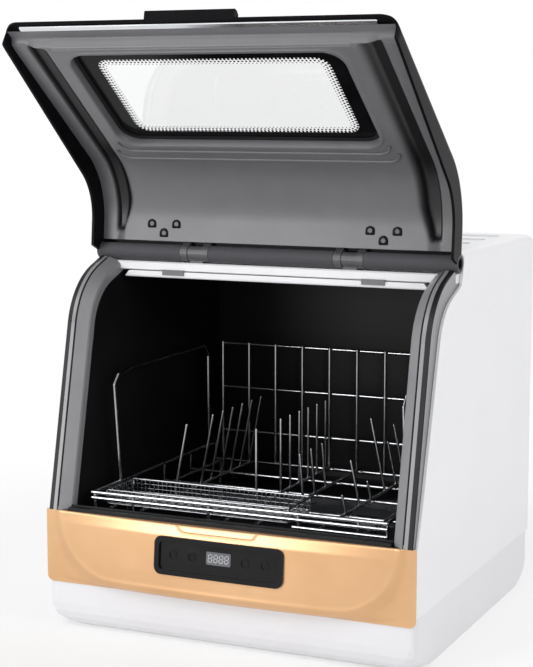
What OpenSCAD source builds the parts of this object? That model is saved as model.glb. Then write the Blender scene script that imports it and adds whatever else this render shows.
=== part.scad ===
// Countertop dishwasher with a curved flip-up lid, shown with the lid open.
// X runs to the right, Y to the back, Z up; the origin is under the middle of the cabinet.

/* [Cabinet] */
// Width over the white side walls
body_w = 420; // [400:2:460]
// Y of the ends of the gold panel's top edge, counted forward from the middle
front_y = 198; // [194:1:206]
// Y of the rear edge of the casing
rear_y = 198; // [194:1:216]
// Height of the cabinet with the lid shut
body_h = 412; // [408:1:430]
// Wall of the outer casing
casing_t = 3; // [2:0.5:4]
// Rounding between the top and the sides
casing_r = 9; // [6:1:14]
// Rounding between the top and the rear
casing_rear_r = 14; // [10:1:20]
// Height of the seam between the casing and the base tray
seam_z = 61; // [56:1:64]
// Rounding of the lower front edge of the base tray
base_r = 28; // [14:1:34]
// Wall of the base tray
base_t = 3.5; // [3:0.5:5]
// Radius of a rubber pad under the base
pad_r = 13; // [10:1:18]
// Number of pressed fields in the top
louvre_count = 4; // [3:1:6]
// Width of a rib between two pressed fields
louvre_w = 14; // [8:1:20]
// Depth of the pressed fields
louvre_depth = 1.4; // [0.8:0.1:1.8]

/* [Opening] */
// Slope of the seat behind the hinge end of the lid, below level
seat_slope = 20.3; // [19:0.1:21.5]
// Lean of the seat down the front, from upright
seat_lean = 16.4; // [15.4:0.2:17.4]
// Bend radius between the two straights of the seat
seat_r = 60; // [54:1:66]
// Distance from the cabinet's top down to the rear end of the seat
seat_drop = 35; // [33:1:37]
// Height of the gold panel's top edge
sill_z = 131; // [129:1:133]
// Y of the seat at the height of the gold panel's top edge
sill_y = -192; // [-194:1:-190]
// How far the door frame stands out of the seat
frame_out = 20; // [18:0.5:21]
// Wall of the door frame
frame_t = 2; // [1.5:0.5:2.5]
// Width of the frame's sloping inner band
band_w = 12; // [9:0.5:14]

/* [Lid] */
// Depth of the lid's side walls at the bend
lid_depth = 32; // [31:0.5:33]
// Lean of the lid's front, from upright
lid_lean = 12.5; // [12:0.1:13]
// Height of the closed lid's lower edge
lid_low_z = 124; // [122:1:126]
// Wall of the outer shell
lid_t = 3; // [2:0.5:3]
// Rounding between the lid's skin and its side walls
lid_edge_r = 8; // [6:0.5:8]
// Rounding of the lower corners of the lid
lid_corner_r = 18; // [17:1:24]
// Y of the hinge axis
hinge_y = -74; // [-75:0.5:-73]
// Radius of the roll round the hinge axis
barrel_r = 9; // [8:0.5:9]
// Angle that the lid is opened by
lid_angle = 115; // [90:1:115]
// Gap between moving edges
run_gap = 1; // [0.6:0.1:1.4]
// Wall of the inner panel of the lid
liner_t = 2; // [1.5:0.5:2.5]
// How far the middle of the inner panel stands in from the skin
liner_in = 15; // [13:0.5:16]
// Distance of the bright strip from the lid's lower edge
trim_from = 3.5; // [2:0.5:5]
// Width of the bright strip
trim_w = 4; // [3:0.5:6]
// Width of the handle lip
handle_w = 96; // [80:1:100]
// How far the handle lip stands out of the skin
handle_out = 8; // [5:0.5:10]

/* [Window] */
// Width of the glass that can be seen through
window_w = 252; // [200:2:256]
// Distance along the lid's front from the bend to the see-through glass
window_from = 41; // [36:1:60]
// Distance from the lid's lower edge to the see-through glass
window_end = 52.5; // [52:0.5:80]
// Width of the black border at the sides of the glass
border_side = 21; // [14:1:22]
// Width of the black border at the hinge side of the glass
border_near = 11; // [9:1:16]
// Width of the black border at the handle side of the glass
border_far = 18; // [12:1:19]
// Thickness of the glass
glass_t = 3; // [2.5:0.5:4]
// Corner radius of the see-through glass
window_r = 14; // [8:1:24]
// Wall of the surround that holds the glass
surround_w = 4; // [3:0.5:5]

/* [Hinge] */
// Distance of each hinge from the middle
hinge_x = 90; // [86:1:94]
// Width of the bracket's eye
eye_w = 16; // [12:1:18]
// Width of each ear on the lid
ear_w = 8.5; // [7:0.5:10]
// Radius of the hinge pin
pin_r = 3; // [2.5:0.1:4]
// Radial clearance of the pin in the bracket's eye
pin_fit = 0.05; // [0.02:0.01:0.09]

/* [Front panel] */
// Bow of the gold panel between its ends and its middle
front_bow = 6; // [4:0.5:6.5]
// How far the gold panel's lower edge stands ahead of its top edge
front_lean = 7; // [4:0.5:10]
// Height of the gold panel's lower edge
front_low_z = 52; // [48:1:54]
// Wall of the gold panel
front_t = 2.5; // [2:0.5:3]
// How far the raised field stands out
field_out = 2; // [1:0.5:2]
// Distance from the gold panel's ends to the raised field at the top
field_from = 16; // [12:1:24]
// Width of the finger recess
finger_w = 92; // [84:1:120]
// Depth of the finger recess
finger_depth = 7.5; // [5:0.5:8]
// Width of the control bezel
bezel_w = 146; // [134:1:170]
// Height of the control bezel
bezel_h = 40; // [36:1:42]
// Height of the middle of the bezel
bezel_z = 99; // [96:1:100]
// Rim width of the bezel
bezel_rim = 5.5; // [4:0.5:7]
// Radius of a touch key's ring
key_r = 5; // [4:0.2:6.5]
// Distance between two neighbouring keys
key_pitch = 22; // [18:1:23]
// Distance from the middle to the inner keys
key_from = 30; // [26:1:31]
// Width of the display window
display_w = 28; // [22:1:34]
// Height of the display window
display_h = 13.5; // [10:0.5:18]

/* [Tub] */
// Width of each side, from the casing's outside to the tub's inside
side_w = 27; // [26:0.5:30]
// Inner rear of the tub
tub_rear_y = 172; // [164:1:174]
// Height of the tub floor
tub_floor_z = 100; // [98:1:101]
// Distance from the rear end of the seat down to the tub's inner top
tub_drop = 2; // [2:1:11]
// Wall of the tub
tub_t = 2; // [1.5:0.5:2]
// Corner radius of the tub in the side view
tub_r = 18; // [10:1:26]

/* [Rack] */
// Gap between the rack and the tub's side walls
rack_gap = 15; // [11:1:23]
// Y of the rack's front cross wire
rack_front_y = -166; // [-167:1:-163]
// Y of the rack's rear cross wire
rack_rear_y = 128; // [120:1:150]
// Height of the wires that cross under the tines
cross_z = 127; // [126.5:0.1:128]
// Height of the rack's upper rim
rack_rim_z = 147; // [142:1:152]
// Height of the rear grid and of the side hoops
rack_high_z = 271; // [240:1:285]
// Radius of the frame wires
wire_r = 1.9; // [1.6:0.1:2]
// Radius of the tines
tine_r = 1.5; // [1.2:0.1:1.5]
// Distance from one tine to the next
tine_pitch = 26; // [22:1:30]
// Length of the long tines
tine_l = 83; // [60:1:90]
// Distance of the left row of tines from the rack's left side
left_row = 56; // [46:1:60]
// X of the middle row of tines
middle_row_x = -12; // [-16:1:-10]
// X of the short row of tines
short_row_x = 24; // [22:1:30]
// Distance of the right row of tines from the rack's right side
right_row = 76; // [70:1:84]

/* [Cutlery basket] */
// Gap between the rack's left side and the cutlery basket
basket_gap = 8; // [6:1:18]
// Right end of the cutlery basket
basket_right = 58; // [30:1:64]
// Front of the cutlery basket
basket_front = -160; // [-161:1:-150]
// Rear of the cutlery basket
basket_rear = -97; // [-110:1:-96]
// Height of the cutlery basket
basket_h = 17; // [14:1:24]
// Thickness of the basket's walls
basket_t = 1.2; // [1:0.1:1.8]
// Pitch of the holes in the basket
mesh_pitch = 12; // [10:0.5:14]
// Width of a bar between two holes
mesh_bar = 2; // [1.4:0.2:3]

/* [Washing] */
// Reach of one half of the spray arm
spray_reach = 150; // [120:1:156]
// Width of the spray arm at its hub
spray_w = 34; // [28:1:40]
// Nozzles on each half of the arm
nozzle_count = 5; // [3:1:7]
// Radius of the filter cup's rim
filter_r = 40; // [36:1:42]
// Depth of the filter well under the tub floor
well_depth = 44; // [38:1:48]
// Radius of the water inlet over its thread, G 3/4
inlet_r = 13.2; // [13.2:0.1:13.3]
// Length of the water inlet
inlet_l = 16; // [12:1:22]
// Radius of the drain spigot
drain_r = 9.5; // [8:0.5:11]
// Length of the drain spigot
drain_l = 24; // [20:1:30]

/* [Hidden] */

half_w = body_w / 2;
seat_top_z = body_h - seat_drop;
tub_half = half_w - side_w;
tub_top_z = seat_top_z - tub_drop;
rack_half = tub_half - rack_gap;
basket_left = basket_gap - rack_half;
field_half = half_w - field_from;
big = 900;

black = [0.07, 0.07, 0.08];
coal = [0.2, 0.2, 0.21];
grey = [0.42, 0.42, 0.44];
pale = [0.8, 0.8, 0.82];
white = [0.93, 0.93, 0.95];
gold = [0.86, 0.67, 0.45];
steel = [0.72, 0.73, 0.75];
board = [0.15, 0.4, 0.25];
clear = [0.75, 0.8, 0.82, 0.5];

// ---- outlines ----

function unit(v) = v / norm(v);
function wrap(a) = a > 180 ? a - 360 : a < -180 ? a + 360 : a;

// Points of an arc
function arc(c, r, a0, a1, n = 14) =
    [for (i = [0:n]) let (a = a0 + (a1 - a0) * i / n) c + r * [cos(a), sin(a)]];

// The arc that rounds corner q between p and s by r
function corner(p, q, s, r, n = 6) =
    let (u = unit(p - q), v = unit(s - q), bend = acos(u * v) / 2,
         c = q + unit(u + v) * r / sin(bend), e = q + u * r / tan(bend) - c,
         f = q + v * r / tan(bend) - c, a = atan2(e.y, e.x), b = wrap(atan2(f.y, f.x) - a))
    arc(c, r, a, a + b, n);

// Closed outline from [x, y, radius] corners
function rounded(pts, n = 6) =
    let (m = len(pts))
    [for (i = [0:m - 1])
        let (a = pts[(i + m - 1) % m], b = pts[i], c = pts[(i + 1) % m])
        each (b[2] == 0 ? [[b.x, b.y]]
              : corner([a.x, a.y], [b.x, b.y], [c.x, c.y], b[2], n))];

// Rounded rectangle from its lowest and highest corners
function rect(x0, y0, x1, y1, r) = rounded([[x0, y0, r], [x1, y0, r], [x1, y1, r], [x0, y1, r]]);

// The right half of an outline, completed on the left
function mirrored(pts) =
    let (h = [for (p = pts) if (p.x > 0) p])
    concat(h, [for (i = [len(h) - 1:-1:0]) [-h[i].x, h[i].y]]);

// Side-view outline (y, z), drawn across the machine from x0 to x1
module across(x0, x1)
    translate([x0, 0, 0])
        rotate([90, 0, 90])
            linear_extrude(height = x1 - x0)
                children();

// Front-view outline (x, z), drawn from y0 back to y1
module back(y0, y1)
    translate([0, y1, 0])
        rotate([90, 0, 0])
            linear_extrude(height = y1 - y0)
                children();

// Round bar along Y from p, and along X from p
module bar_y(p, l, r, n = 48)
    translate(p)
        rotate([-90, 0, 0])
            cylinder(h = l, r = r, $fn = n);

module bar_x(p, l, r, n = 48)
    translate(p)
        rotate([0, 90, 0])
            cylinder(h = l, r = r, $fn = n);

// The same piece on the right and on the left
module both() {
    children();
    mirror([1, 0, 0])
        children();
}

// Round wire from a to b
module wire(a, b, r = wire_r) {
    v = b - a;
    translate(a)
        rotate([0, acos(v.z / norm(v)), atan2(v.y, v.x)])
            cylinder(h = norm(v), r = r, $fn = 16);
}

// One wire bent at every inner point of its path
module bent(pts, r = wire_r) {
    for (i = [1:len(pts) - 1])
        wire(pts[i - 1], pts[i], r);
    for (i = [1:len(pts) - 2])
        translate(pts[i])
            sphere(r = r, $fn = 16);
}

// ---- the seat and the skin of the lid, both in the side view ----

top_out = [-sin(seat_slope), cos(seat_slope)];
front_out = [-cos(seat_lean), sin(seat_lean)];
seat_start_y = hinge_y + 4;
top_at = top_out * [seat_start_y, seat_top_z];
front_at = front_out * [sill_y, sill_z];
turn = top_out.x * front_out.y - top_out.y * front_out.x;
bend_c = [((top_at - seat_r) * front_out.y - top_out.y * (front_at - seat_r)) / turn,
          (top_out.x * (front_at - seat_r) - (top_at - seat_r) * front_out.x) / turn];

function top_z(e, y) = (top_at + e - top_out.x * y) / top_out.y;
function front_at_z(e, z) = (front_at + e - front_out.y * z) / front_out.x;

// Seat line moved outward by e, from y on the top down to z on the front
function seat(e, y, z) =
    concat([[y, top_z(e, y)]],
           arc(bend_c, seat_r + e, 90 + seat_slope, 180 - seat_lean),
           [[front_at_z(e, z), z]]);

// The hinge axis lies one roll radius under the skin
hinge = [hinge_y, top_z(lid_depth - barrel_r, hinge_y)];
skin_r = seat_r + lid_depth;
top_dir = [cos(seat_slope), sin(seat_slope)];
skin_out = [-cos(lid_lean), sin(lid_lean)];
skin_down = [-sin(lid_lean), -cos(lid_lean)];
skin_turn = 90 - lid_lean - seat_slope;
top_run = (hinge - bend_c) * top_dir;
skin_knee = bend_c + skin_r * skin_out;
front_run = (skin_knee.y - lid_low_z) / cos(lid_lean);
window_to = front_run - window_end;

// Point in the side view: s along the lid's front from the bend, d inward from the skin
function on_front(s, d) = skin_knee + s * skin_down - d * skin_out;
// Point in the side view: t forward from the hinge axis along the top, d inward from the skin
function on_top(t, d) = hinge + top_out * (barrel_r - d) - top_dir * t;
// Distance along the front at which depth d reaches the height z
function front_s(z, d) = (skin_knee.y - d * skin_out.y - z) / cos(lid_lean);
// Line at depth d under the skin, from t on the top to s on the front
function skin_line(d, t, s) =
    concat([on_top(t, d)],
           arc(bend_c, skin_r - d, 90 + seat_slope, 180 - lid_lean),
           [on_front(s, d)]);

// Cross-section from [x, d] points, with d inward from the skin
module section(pts)
    polygon([for (p = pts) [skin_r - p[1], p[0]]]);

// The straights reach into the bend by the lap, and lie a hair aside of it, so they join soundly
lap = 0.2;
hair = 0.003;

// Straight stretch of the sweep, ahead of or behind one of its planes
module run(a, l)
    rotate([0, 0, a])
        translate([hair, l > 0 ? l : lap, 1.5 * hair])
            rotate([90, 0, 0])
                linear_extrude(height = abs(l) + lap)
                    children();

module bend_frame()
    translate([0, bend_c.x, bend_c.y])
        rotate([90, 0, 90])
            children();

// A cross-section swept along the skin: top straight from t, bend, front straight to s
module swept(t, s)
    bend_frame() {
        run(90 + seat_slope, t - top_run)
            children();
        rotate([0, 0, 90 + seat_slope])
            rotate_extrude(angle = skin_turn, $fn = 120)
                children();
        run(180 - lid_lean, s)
            children();
    }

// Flat plate under the lid's front, drawn in (x, s) from depth d0 to depth d1
module plate(d0, d1)
    translate([0, on_front(0, d0).x, on_front(0, d0).y])
        rotate([-90 - lid_lean, 0, 0])
            linear_extrude(height = d1 - d0)
                children();

// The lid's pieces are drawn shut and turned open about the hinge axis
module lid_open()
    translate([0, hinge.x, hinge.y])
        rotate([-lid_angle, 0, 0])
            translate([0, -hinge.x, -hinge.y])
                children();

// Everything under the seat line moved out by e
module under_seat(e)
    across(-big, big)
        polygon(concat(seat(e, big, -big), [[big, -big]]));

// Everything below the gold panel's top edge
module below_sill()
    translate([-big, -big, -big])
        cube([2 * big, 2 * big, big + sill_z]);

// Room round the roll of the lid
module roll_room()
    bar_x([-half_w - 1, hinge.x, hinge.y], body_w + 2, barrel_r + run_gap, 64);

// ---- casing, rear panel, base ----

lip_y = hinge_y + barrel_r + 3;
panel_back = -front_y + 2;

module arch(in)
    back(-big, big)
        polygon(rounded([[-half_w + in, seam_z - 1, 0], [half_w - in, seam_z - 1, 0],
                         [half_w - in, body_h - in, casing_r - in],
                         [-half_w + in, body_h - in, casing_r - in]]));

louvre_x = half_w - 26;
louvre_front = lip_y + 18;
louvre_rear = rear_y - casing_rear_r - 13;
louvre_pitch = (louvre_rear - louvre_front) / louvre_count;
rear_frame_x = 14;
rear_frame_z = 28;

module outer_casing() {
    color(white)
    difference() {
        intersection() {
            across(-half_w, half_w)
                polygon(concat([[panel_back, seam_z], [rear_y, seam_z]],
                               corner([rear_y, seam_z], [rear_y, body_h], [lip_y, body_h],
                                      casing_rear_r, 8),
                               corner([rear_y, body_h], [lip_y, body_h], [lip_y, seam_z],
                                      casing_t - 0.5, 4),
                               [[lip_y, hinge.y]],
                               seat(0, seat_start_y + 2, sill_z),
                               [[panel_back, sill_z]]));
            arch(0);
        }
        intersection() {
            arch(casing_t);
            across(-half_w, half_w)
                polygon(rounded([[-big, seam_z - 2, 0], [rear_y - casing_t, seam_z - 2, 0],
                                 [rear_y - casing_t, body_h - casing_t, casing_rear_r - casing_t],
                                 [-big, body_h - casing_t, 0]]));
        }
        back(rear_y - casing_t - 1, rear_y + 1)
            polygon(rect(-half_w + rear_frame_x, seam_z - 30, half_w - rear_frame_x,
                         body_h - rear_frame_z, 10));
        roll_room();
        for (i = [0:louvre_count - 1])
            translate([0, louvre_front + louvre_pitch * i, body_h - louvre_depth])
                linear_extrude(height = 5)
                    polygon(rect(-louvre_x, 0, louvre_x, louvre_pitch - louvre_w, 8));
    }
}

rear_in = rear_y - casing_t;
rear_t = 2.5;
inlet_at = [-140, 92];
drain_at = [-96, 90];
gland_at = [142, 90];
fan_at = [110, 318];
fan_r = 32;

module rear_panel() {
    color(pale)
    difference() {
        union() {
            back(rear_in - rear_t, rear_in)
                polygon(rect(-half_w + rear_frame_x - 6, seam_z + 1, half_w - rear_frame_x + 6,
                             body_h - rear_frame_z + 6, 9));
            back(rear_in - 1, rear_in + 1.5)
                polygon(rect(-half_w + 40, seam_z + 70, half_w - 40, body_h - 150, 12));
        }
        for (i = [0:5])
            back(rear_in - rear_t - 1, rear_in + 1)
                polygon(rect(40 - half_w, body_h - 110 + 10 * i, 130 - half_w,
                             body_h - 105 + 10 * i, 2.4));
        for (a = [0:60:300], k = [0:2])
            translate([fan_at.x, rear_in, fan_at.y])
                rotate([0, a + 12 * k, 0])
                    bar_y([9 + 9 * k, -rear_t - 1, 0], rear_t + 2, 3.4, 16);
        bar_y([inlet_at.x, rear_in - rear_t - 1, inlet_at.y], rear_t + 2, inlet_r - 1.2);
        bar_y([drain_at.x, rear_in - rear_t - 1, drain_at.y], rear_t + 2, drain_r - 0.2);
        bar_y([gland_at.x, rear_in - rear_t - 1, gland_at.y], rear_t + 2, 7.8);
    }
}

// Base at one height: the roll of its lower edges is widest in front and at the corners
module base_slab(a, in) {
    k = 1 - sin(a);
    translate([0, 0, in + (base_r - in) * (1 - cos(a))])
        linear_extrude(height = 0.1)
            polygon(rounded([[-half_w + in + 3 * k, panel_back + in + base_r * k, 10 + 38 * k],
                             [half_w - in - 3 * k, panel_back + in + base_r * k, 10 + 38 * k],
                             [half_w - in - 3 * k, rear_y - in - 0.8 * base_r * k, 10 + 26 * k],
                             [-half_w + in + 3 * k, rear_y - in - 0.8 * base_r * k, 10 + 26 * k]]));
}

module base_form(in)
    hull() {
        for (a = [0:18:90])
            base_slab(a, in);
        translate([0, 0, seam_z - base_r - 0.1 + in])
            base_slab(90, in);
    }

pad_x = half_w - 48;
pad_y = 118;
pad_h = 2.2;

module at_pads(z, h, r)
    for (x = [-pad_x, pad_x], y = [-pad_y, pad_y])
        translate([x, y, z])
            cylinder(h = h, r = r, $fn = 40);

module base_tray() {
    color(white)
    difference() {
        base_form(0);
        difference() {
            base_form(base_t);
            at_pads(0, base_t + pad_h, pad_r + 3);
        }
        at_pads(-1, pad_h + 1, pad_r);
    }
}

module feet() {
    color(coal)
    at_pads(0, pad_h, pad_r);
}

// ---- gold front panel with its controls ----

front_r = (half_w * half_w + front_bow * front_bow) / (2 * front_bow);
front_mid = -front_y - front_bow;
front_axis = front_mid + front_r;

// Radius of the bowed face at height z
function face_r(z) = front_r + front_lean * (sill_z - z) / (sill_z - front_low_z);

// What stands out of the face ends a touch below the panel's top edge
function rim_drop(e) = e > 0 ? -0.1 : e;

// Side outline of the bowed panel moved out by e, turned about a far upright axis
module bowed(e)
    translate([0, front_axis, 0])
        rotate([0, 0, -96])
            rotate_extrude(angle = 12, $fn = 720)
                polygon(rounded([[front_r - 60, sill_z + rim_drop(e), 0],
                                 [face_r(sill_z) + e, sill_z + rim_drop(e), 2],
                                 [face_r(front_low_z) + e, front_low_z - min(e, 0), 9],
                                 [front_r - 60, front_low_z - min(e, 0), 0]]));

// Bowed layer between two heights over the face, inside a front-view outline
module layer(e0, e1)
    difference() {
        intersection() {
            bowed(e1);
            back(-big, panel_back - 0.3)
                children();
        }
        bowed(e0);
    }

field = mirrored(rounded([[0, front_low_z + 5, 0], [field_half - 42, front_low_z + 5, 30],
                          [field_half - 5, sill_z - 32, 26], [field_half, sill_z + 5, 0],
                          [0, sill_z + 5, 0]]));

module front_panel() {
    color(gold)
    difference() {
        union() {
            difference() {
                intersection() {
                    bowed(0);
                    back(-big, panel_back)
                        polygon(rounded([[-half_w, front_low_z, 7], [half_w, front_low_z, 7],
                                         [half_w, sill_z, 2], [-half_w, sill_z, 2]]));
                }
                intersection() {
                    bowed(-front_t);
                    back(-big, panel_back + 1)
                        polygon(rect(-half_w + front_t, front_low_z - 5, half_w - front_t,
                                     sill_z + 5, 2));
                }
            }
            layer(-front_t / 2, field_out)
                polygon(field);
        }
        back(-big, panel_back + 1)
            bezel_shape(2, 6);
        back(-big, front_mid + front_bow)
            polygon(rounded([[-finger_w / 2, sill_z + 9, 0], [-finger_w / 2, sill_z, 3],
                             [-finger_w / 2 + 7, sill_z - finger_depth, 5],
                             [finger_w / 2 - 7, sill_z - finger_depth, 5],
                             [finger_w / 2, sill_z, 3], [finger_w / 2, sill_z + 9, 0]]));
    }
}

module bezel_shape(in, r)
    polygon(rect(-bezel_w / 2 + in, bezel_z - bezel_h / 2 + in, bezel_w / 2 - in,
                 bezel_z + bezel_h / 2 - in, r));

module display_shape()
    polygon(rect(-display_w / 2, bezel_z + 2 - display_h / 2, display_w / 2,
                 bezel_z + 2 + display_h / 2, 1.5));

module at_keys()
    for (x = [-key_from - key_pitch, -key_from, key_from, key_from + key_pitch])
        translate([x, 0, bezel_z + 1])
            children();

face_out = field_out - 1;
pane_t = 2.5;

module control_bezel() {
    color(black)
    difference() {
        union() {
            layer(field_out, field_out + 1.6)
                bezel_shape(0, 8);
            layer(-front_t - 2, field_out + 1)
                bezel_shape(2, 6);
        }
        layer(face_out - pane_t, field_out + 5)
            bezel_shape(bezel_rim, 4);
        intersection() {
            back(-big, panel_back)
                bezel_shape(bezel_rim + 3, 3);
            bowed(face_out);
        }
    }
}

module control_glass() {
    color(coal)
    difference() {
        layer(face_out - pane_t, face_out)
            bezel_shape(bezel_rim, 4);
        back(-big, panel_back)
            display_shape();
        at_keys()
            bar_y([0, -big, 0], big, key_r);
    }
}

module touch_keys() {
    color(steel)
    difference() {
        intersection() {
            layer(face_out - pane_t, face_out + 0.6)
                bezel_shape(bezel_rim, 4);
            at_keys()
                bar_y([0, -big, 0], big, key_r);
        }
        difference() {
            at_keys()
                bar_y([0, -big, 0], big, key_r - 1);
            bowed(face_out - 0.4);
        }
    }
}

module display_window() {
    color(grey)
    layer(face_out - pane_t, face_out - 0.3)
        display_shape();
}

board_y = front_mid + front_t + 2.7;

module display_board() {
    color(board) {
        back(board_y, board_y + 1.6)
            polygon(rect(-bezel_w / 2 + 6, bezel_z - 15, bezel_w / 2 - 6, bezel_z + 15, 2));
        back(board_y - 3.5, board_y)
            polygon(rect(-display_w / 2 + 1, bezel_z - 3, display_w / 2 - 1, bezel_z + 7, 1));
    }
}

main_board_z = 74;

module control_board() {
    color(board) {
        translate([-150, -130, main_board_z])
            cube([90, 100, 1.6]);
        translate([-140, -120, main_board_z + 1.6])
            cube([22, 30, 14]);
        translate([-90, -60, main_board_z + 1.6])
            cylinder(h = 14, r = 9, $fn = 32);
        for (x = [-144, -66], y = [-124, -36])
            translate([x, y, base_t])
                cylinder(h = main_board_z - base_t, r = 3, $fn = 24);
    }
}

// ---- tub and door frame ----

frame_in = lid_depth - frame_out;
tub_d = frame_in + 18;
tub_s = front_s(sill_z + 1, tub_d);
tub_front_y = on_front(tub_s, tub_d).x;
tub_lip_y = on_top(2.5, tub_d).x;
filter_at = [92, 52];
well_r = filter_r + 3;

// The three rounded corners of the tub in the side view, moved out by w
function tub_corners(w) =
    concat(corner([tub_front_y - w, sill_z], [tub_front_y - w, tub_floor_z - w],
                  [tub_rear_y + w, tub_floor_z - w], tub_r + w),
           corner([tub_front_y, tub_floor_z - w], [tub_rear_y + w, tub_floor_z - w],
                  [tub_rear_y + w, tub_top_z + w], tub_r + w),
           corner([tub_rear_y + w, tub_floor_z], [tub_rear_y + w, tub_top_z + w],
                  [tub_lip_y, tub_top_z + w], tub_r + w));

// Side view of the tub, out to the outer faces of its walls
module tub_outline()
    polygon(concat(skin_line(tub_d, 2.5, tub_s), [[tub_front_y - tub_t, sill_z - 2]],
                   tub_corners(tub_t), [[tub_lip_y, tub_top_z + tub_t]]));

module tub_sides() {
    color(black)
    both()
        across(tub_half, tub_half + tub_t)
            tub_outline();
}

module tub() {
    color(black)
    difference() {
        across(-tub_half, tub_half)
            tub_outline();
        across(-tub_half - 1, tub_half + 1)
            polygon(concat([[tub_lip_y - big, tub_top_z + 20], [tub_front_y - big, sill_z - 2],
                            [tub_front_y, sill_z - 2]], tub_corners(0),
                           [[tub_lip_y, tub_top_z], [tub_lip_y, tub_top_z + 20]]));
        translate([filter_at.x, filter_at.y, tub_floor_z - tub_t - 1])
            cylinder(h = tub_t + 2, r = well_r, $fn = 96);
        translate([0, 0, tub_floor_z - tub_t - 1])
            cylinder(h = tub_t + 2, r = 16, $fn = 48);
        bar_y([fan_at.x, tub_rear_y - 1, fan_at.y], tub_t + 2, fan_r - 8);
    }
}

frame_x = half_w - casing_t - 0.5;
frame_tuck = lid_depth + 10;
trim_x = frame_x - 5.5;
lip_x = tub_half + band_w;

// Section of one side of the frame: outer wall, front lip, seal groove and sloping band
frame_pts = [[frame_x, frame_tuck], [frame_x, frame_in + 1], [trim_x, frame_in + 1],
             [trim_x, frame_in], [lip_x + 2, frame_in], [lip_x + 2, frame_in + 2],
             [lip_x, frame_in + 2], [lip_x, frame_in + 0.5], [tub_half + 1, frame_in + 8],
             [tub_half, frame_in + 10], [tub_half, tub_d], [tub_half + frame_t, tub_d],
             [tub_half + frame_t, frame_in + 10], [lip_x + 1, frame_in + 3 + frame_t],
             [frame_x - frame_t, frame_in + 3 + frame_t], [frame_x - frame_t, frame_tuck]];

rail_low = tub_top_z + tub_t + 3;
rail_high = hinge.y - barrel_r - 1.5;
rail_front = hinge_y - 4;

// A section along one side of the opening, cut free of the roll and the header
module frame_run(pts)
    difference() {
        swept(-4, front_run)
            section(pts);
        roll_room();
        below_sill();
        translate([-half_w, rail_front, rail_low])
            cube([body_w, 60, 60]);
    }

module frame_side_right() {
    color(pale)
    frame_run(frame_pts);
}

module frame_side_left() {
    color(pale)
    mirror([1, 0, 0])
        frame_run(frame_pts);
}

module frame_trim() {
    color(black)
    both()
        frame_run([[frame_x, frame_in + 1], [frame_x - 1, frame_in], [trim_x, frame_in],
                   [trim_x, frame_in + 1]]);
}

module frame_header() {
    color(white)
    intersection() {
        arch(casing_t);
        across(-frame_x, frame_x)
            polygon([[rail_front + 1, rail_low], [lip_y + 4, rail_low],
                     [lip_y + 4, body_h - casing_t], [lip_y + 1.5, body_h - casing_t],
                     [lip_y + 1.5, rail_high + 3], [lip_y - 1.5, rail_high],
                     [rail_front + 1.5, rail_high], [rail_front, rail_high - 1.5],
                     [rail_front, rail_low + 1]]);
    }
}

sill_top = sill_z + 4;
sill_front = on_front(front_s(sill_z + 2, frame_in), frame_in).x;

module sill_bead()
    bar_x([-tub_half, tub_front_y - 9, sill_top], 2 * tub_half, 1.2, 24);

module frame_sill() {
    color(black)
    difference() {
        across(-tub_half, tub_half)
            polygon([[sill_front, sill_z], [sill_front, sill_top - 1.5],
                     [sill_front + 1, sill_top - 0.5], [tub_front_y - 4, sill_top],
                     [tub_front_y, sill_z + 1], [tub_front_y, sill_z - 2],
                     [tub_front_y - tub_t, sill_z - 2], [tub_front_y - tub_t, sill_z]]);
        sill_bead();
    }
}

module door_seal() {
    color(black) {
        both()
            difference() {
                swept(14, front_run - 14)
                    section([[lip_x + 2, frame_in + 2], [lip_x + 2, frame_in + 0.6],
                             [lip_x + 1, frame_in - 0.6], [lip_x, frame_in + 0.6],
                             [lip_x, frame_in + 2]]);
                below_sill();
            }
        sill_bead();
    }
}

light_x = tub_half - 4;
light_h = 7;
light_low = rail_low - 1 - light_h;

module light_bar() {
    color(white)
    difference() {
        across(-light_x, light_x)
            polygon(rounded([[rail_front, light_low, 2], [rail_front + 8, light_low, 0],
                             [rail_front + 8, light_low + light_h, 0],
                             [rail_front, light_low + light_h, 1]]));
        both()
            translate([light_x, rail_front - 1, light_low - 1])
                rotate([0, -40, 0])
                    cube([12, 12, 14]);
    }
}

clip_x = tub_half - 66;
clip_w = 26;

module light_clips() {
    color(coal)
    both()
        across(clip_x - clip_w / 2, clip_x + clip_w / 2)
            polygon([[rail_front - 1.5, light_low + 3], [rail_front, light_low + 3],
                     [rail_front, light_low + light_h], [rail_front + 8, light_low + light_h],
                     [rail_front + 8, rail_low], [rail_front + 1, rail_low],
                     [rail_front - 0.5, rail_low + 1], [rail_front - 1.5, rail_low + 1]]);
}

eye_r = 8;

module hinge_brackets() {
    color(steel)
    both()
        difference() {
            union() {
                bar_x([hinge_x - eye_w / 2, hinge.x, hinge.y], eye_w, eye_r, 64);
                across(hinge_x - eye_w / 2, hinge_x + eye_w / 2)
                    polygon([[hinge.x - 2, rail_high], [lip_y - 1.5, rail_high],
                             [hinge.x + 7, hinge.y], [hinge.x - 2, hinge.y]]);
                translate([hinge_x + eye_w / 2 + 9, rail_front + 5, rail_high])
                    cylinder(h = 1, r = 3, $fn = 32);
            }
            bar_x([hinge_x - eye_w, hinge.x, hinge.y], 2 * eye_w, pin_r + pin_fit, 64);
        }
}

ear_gap = 0.4;
pin_l = eye_w + 2 * ear_w + 2 * ear_gap;

module hinge_pins() {
    color(steel)
    both()
        bar_x([hinge_x - pin_l / 2, hinge.x, hinge.y], pin_l, pin_r, 64);
}

module reed_switch() {
    color(coal)
    translate([140, tub_front_y - tub_t - 7, sill_z - 16])
        cube([22, 7, 10]);
}

// ---- lid ----

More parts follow.
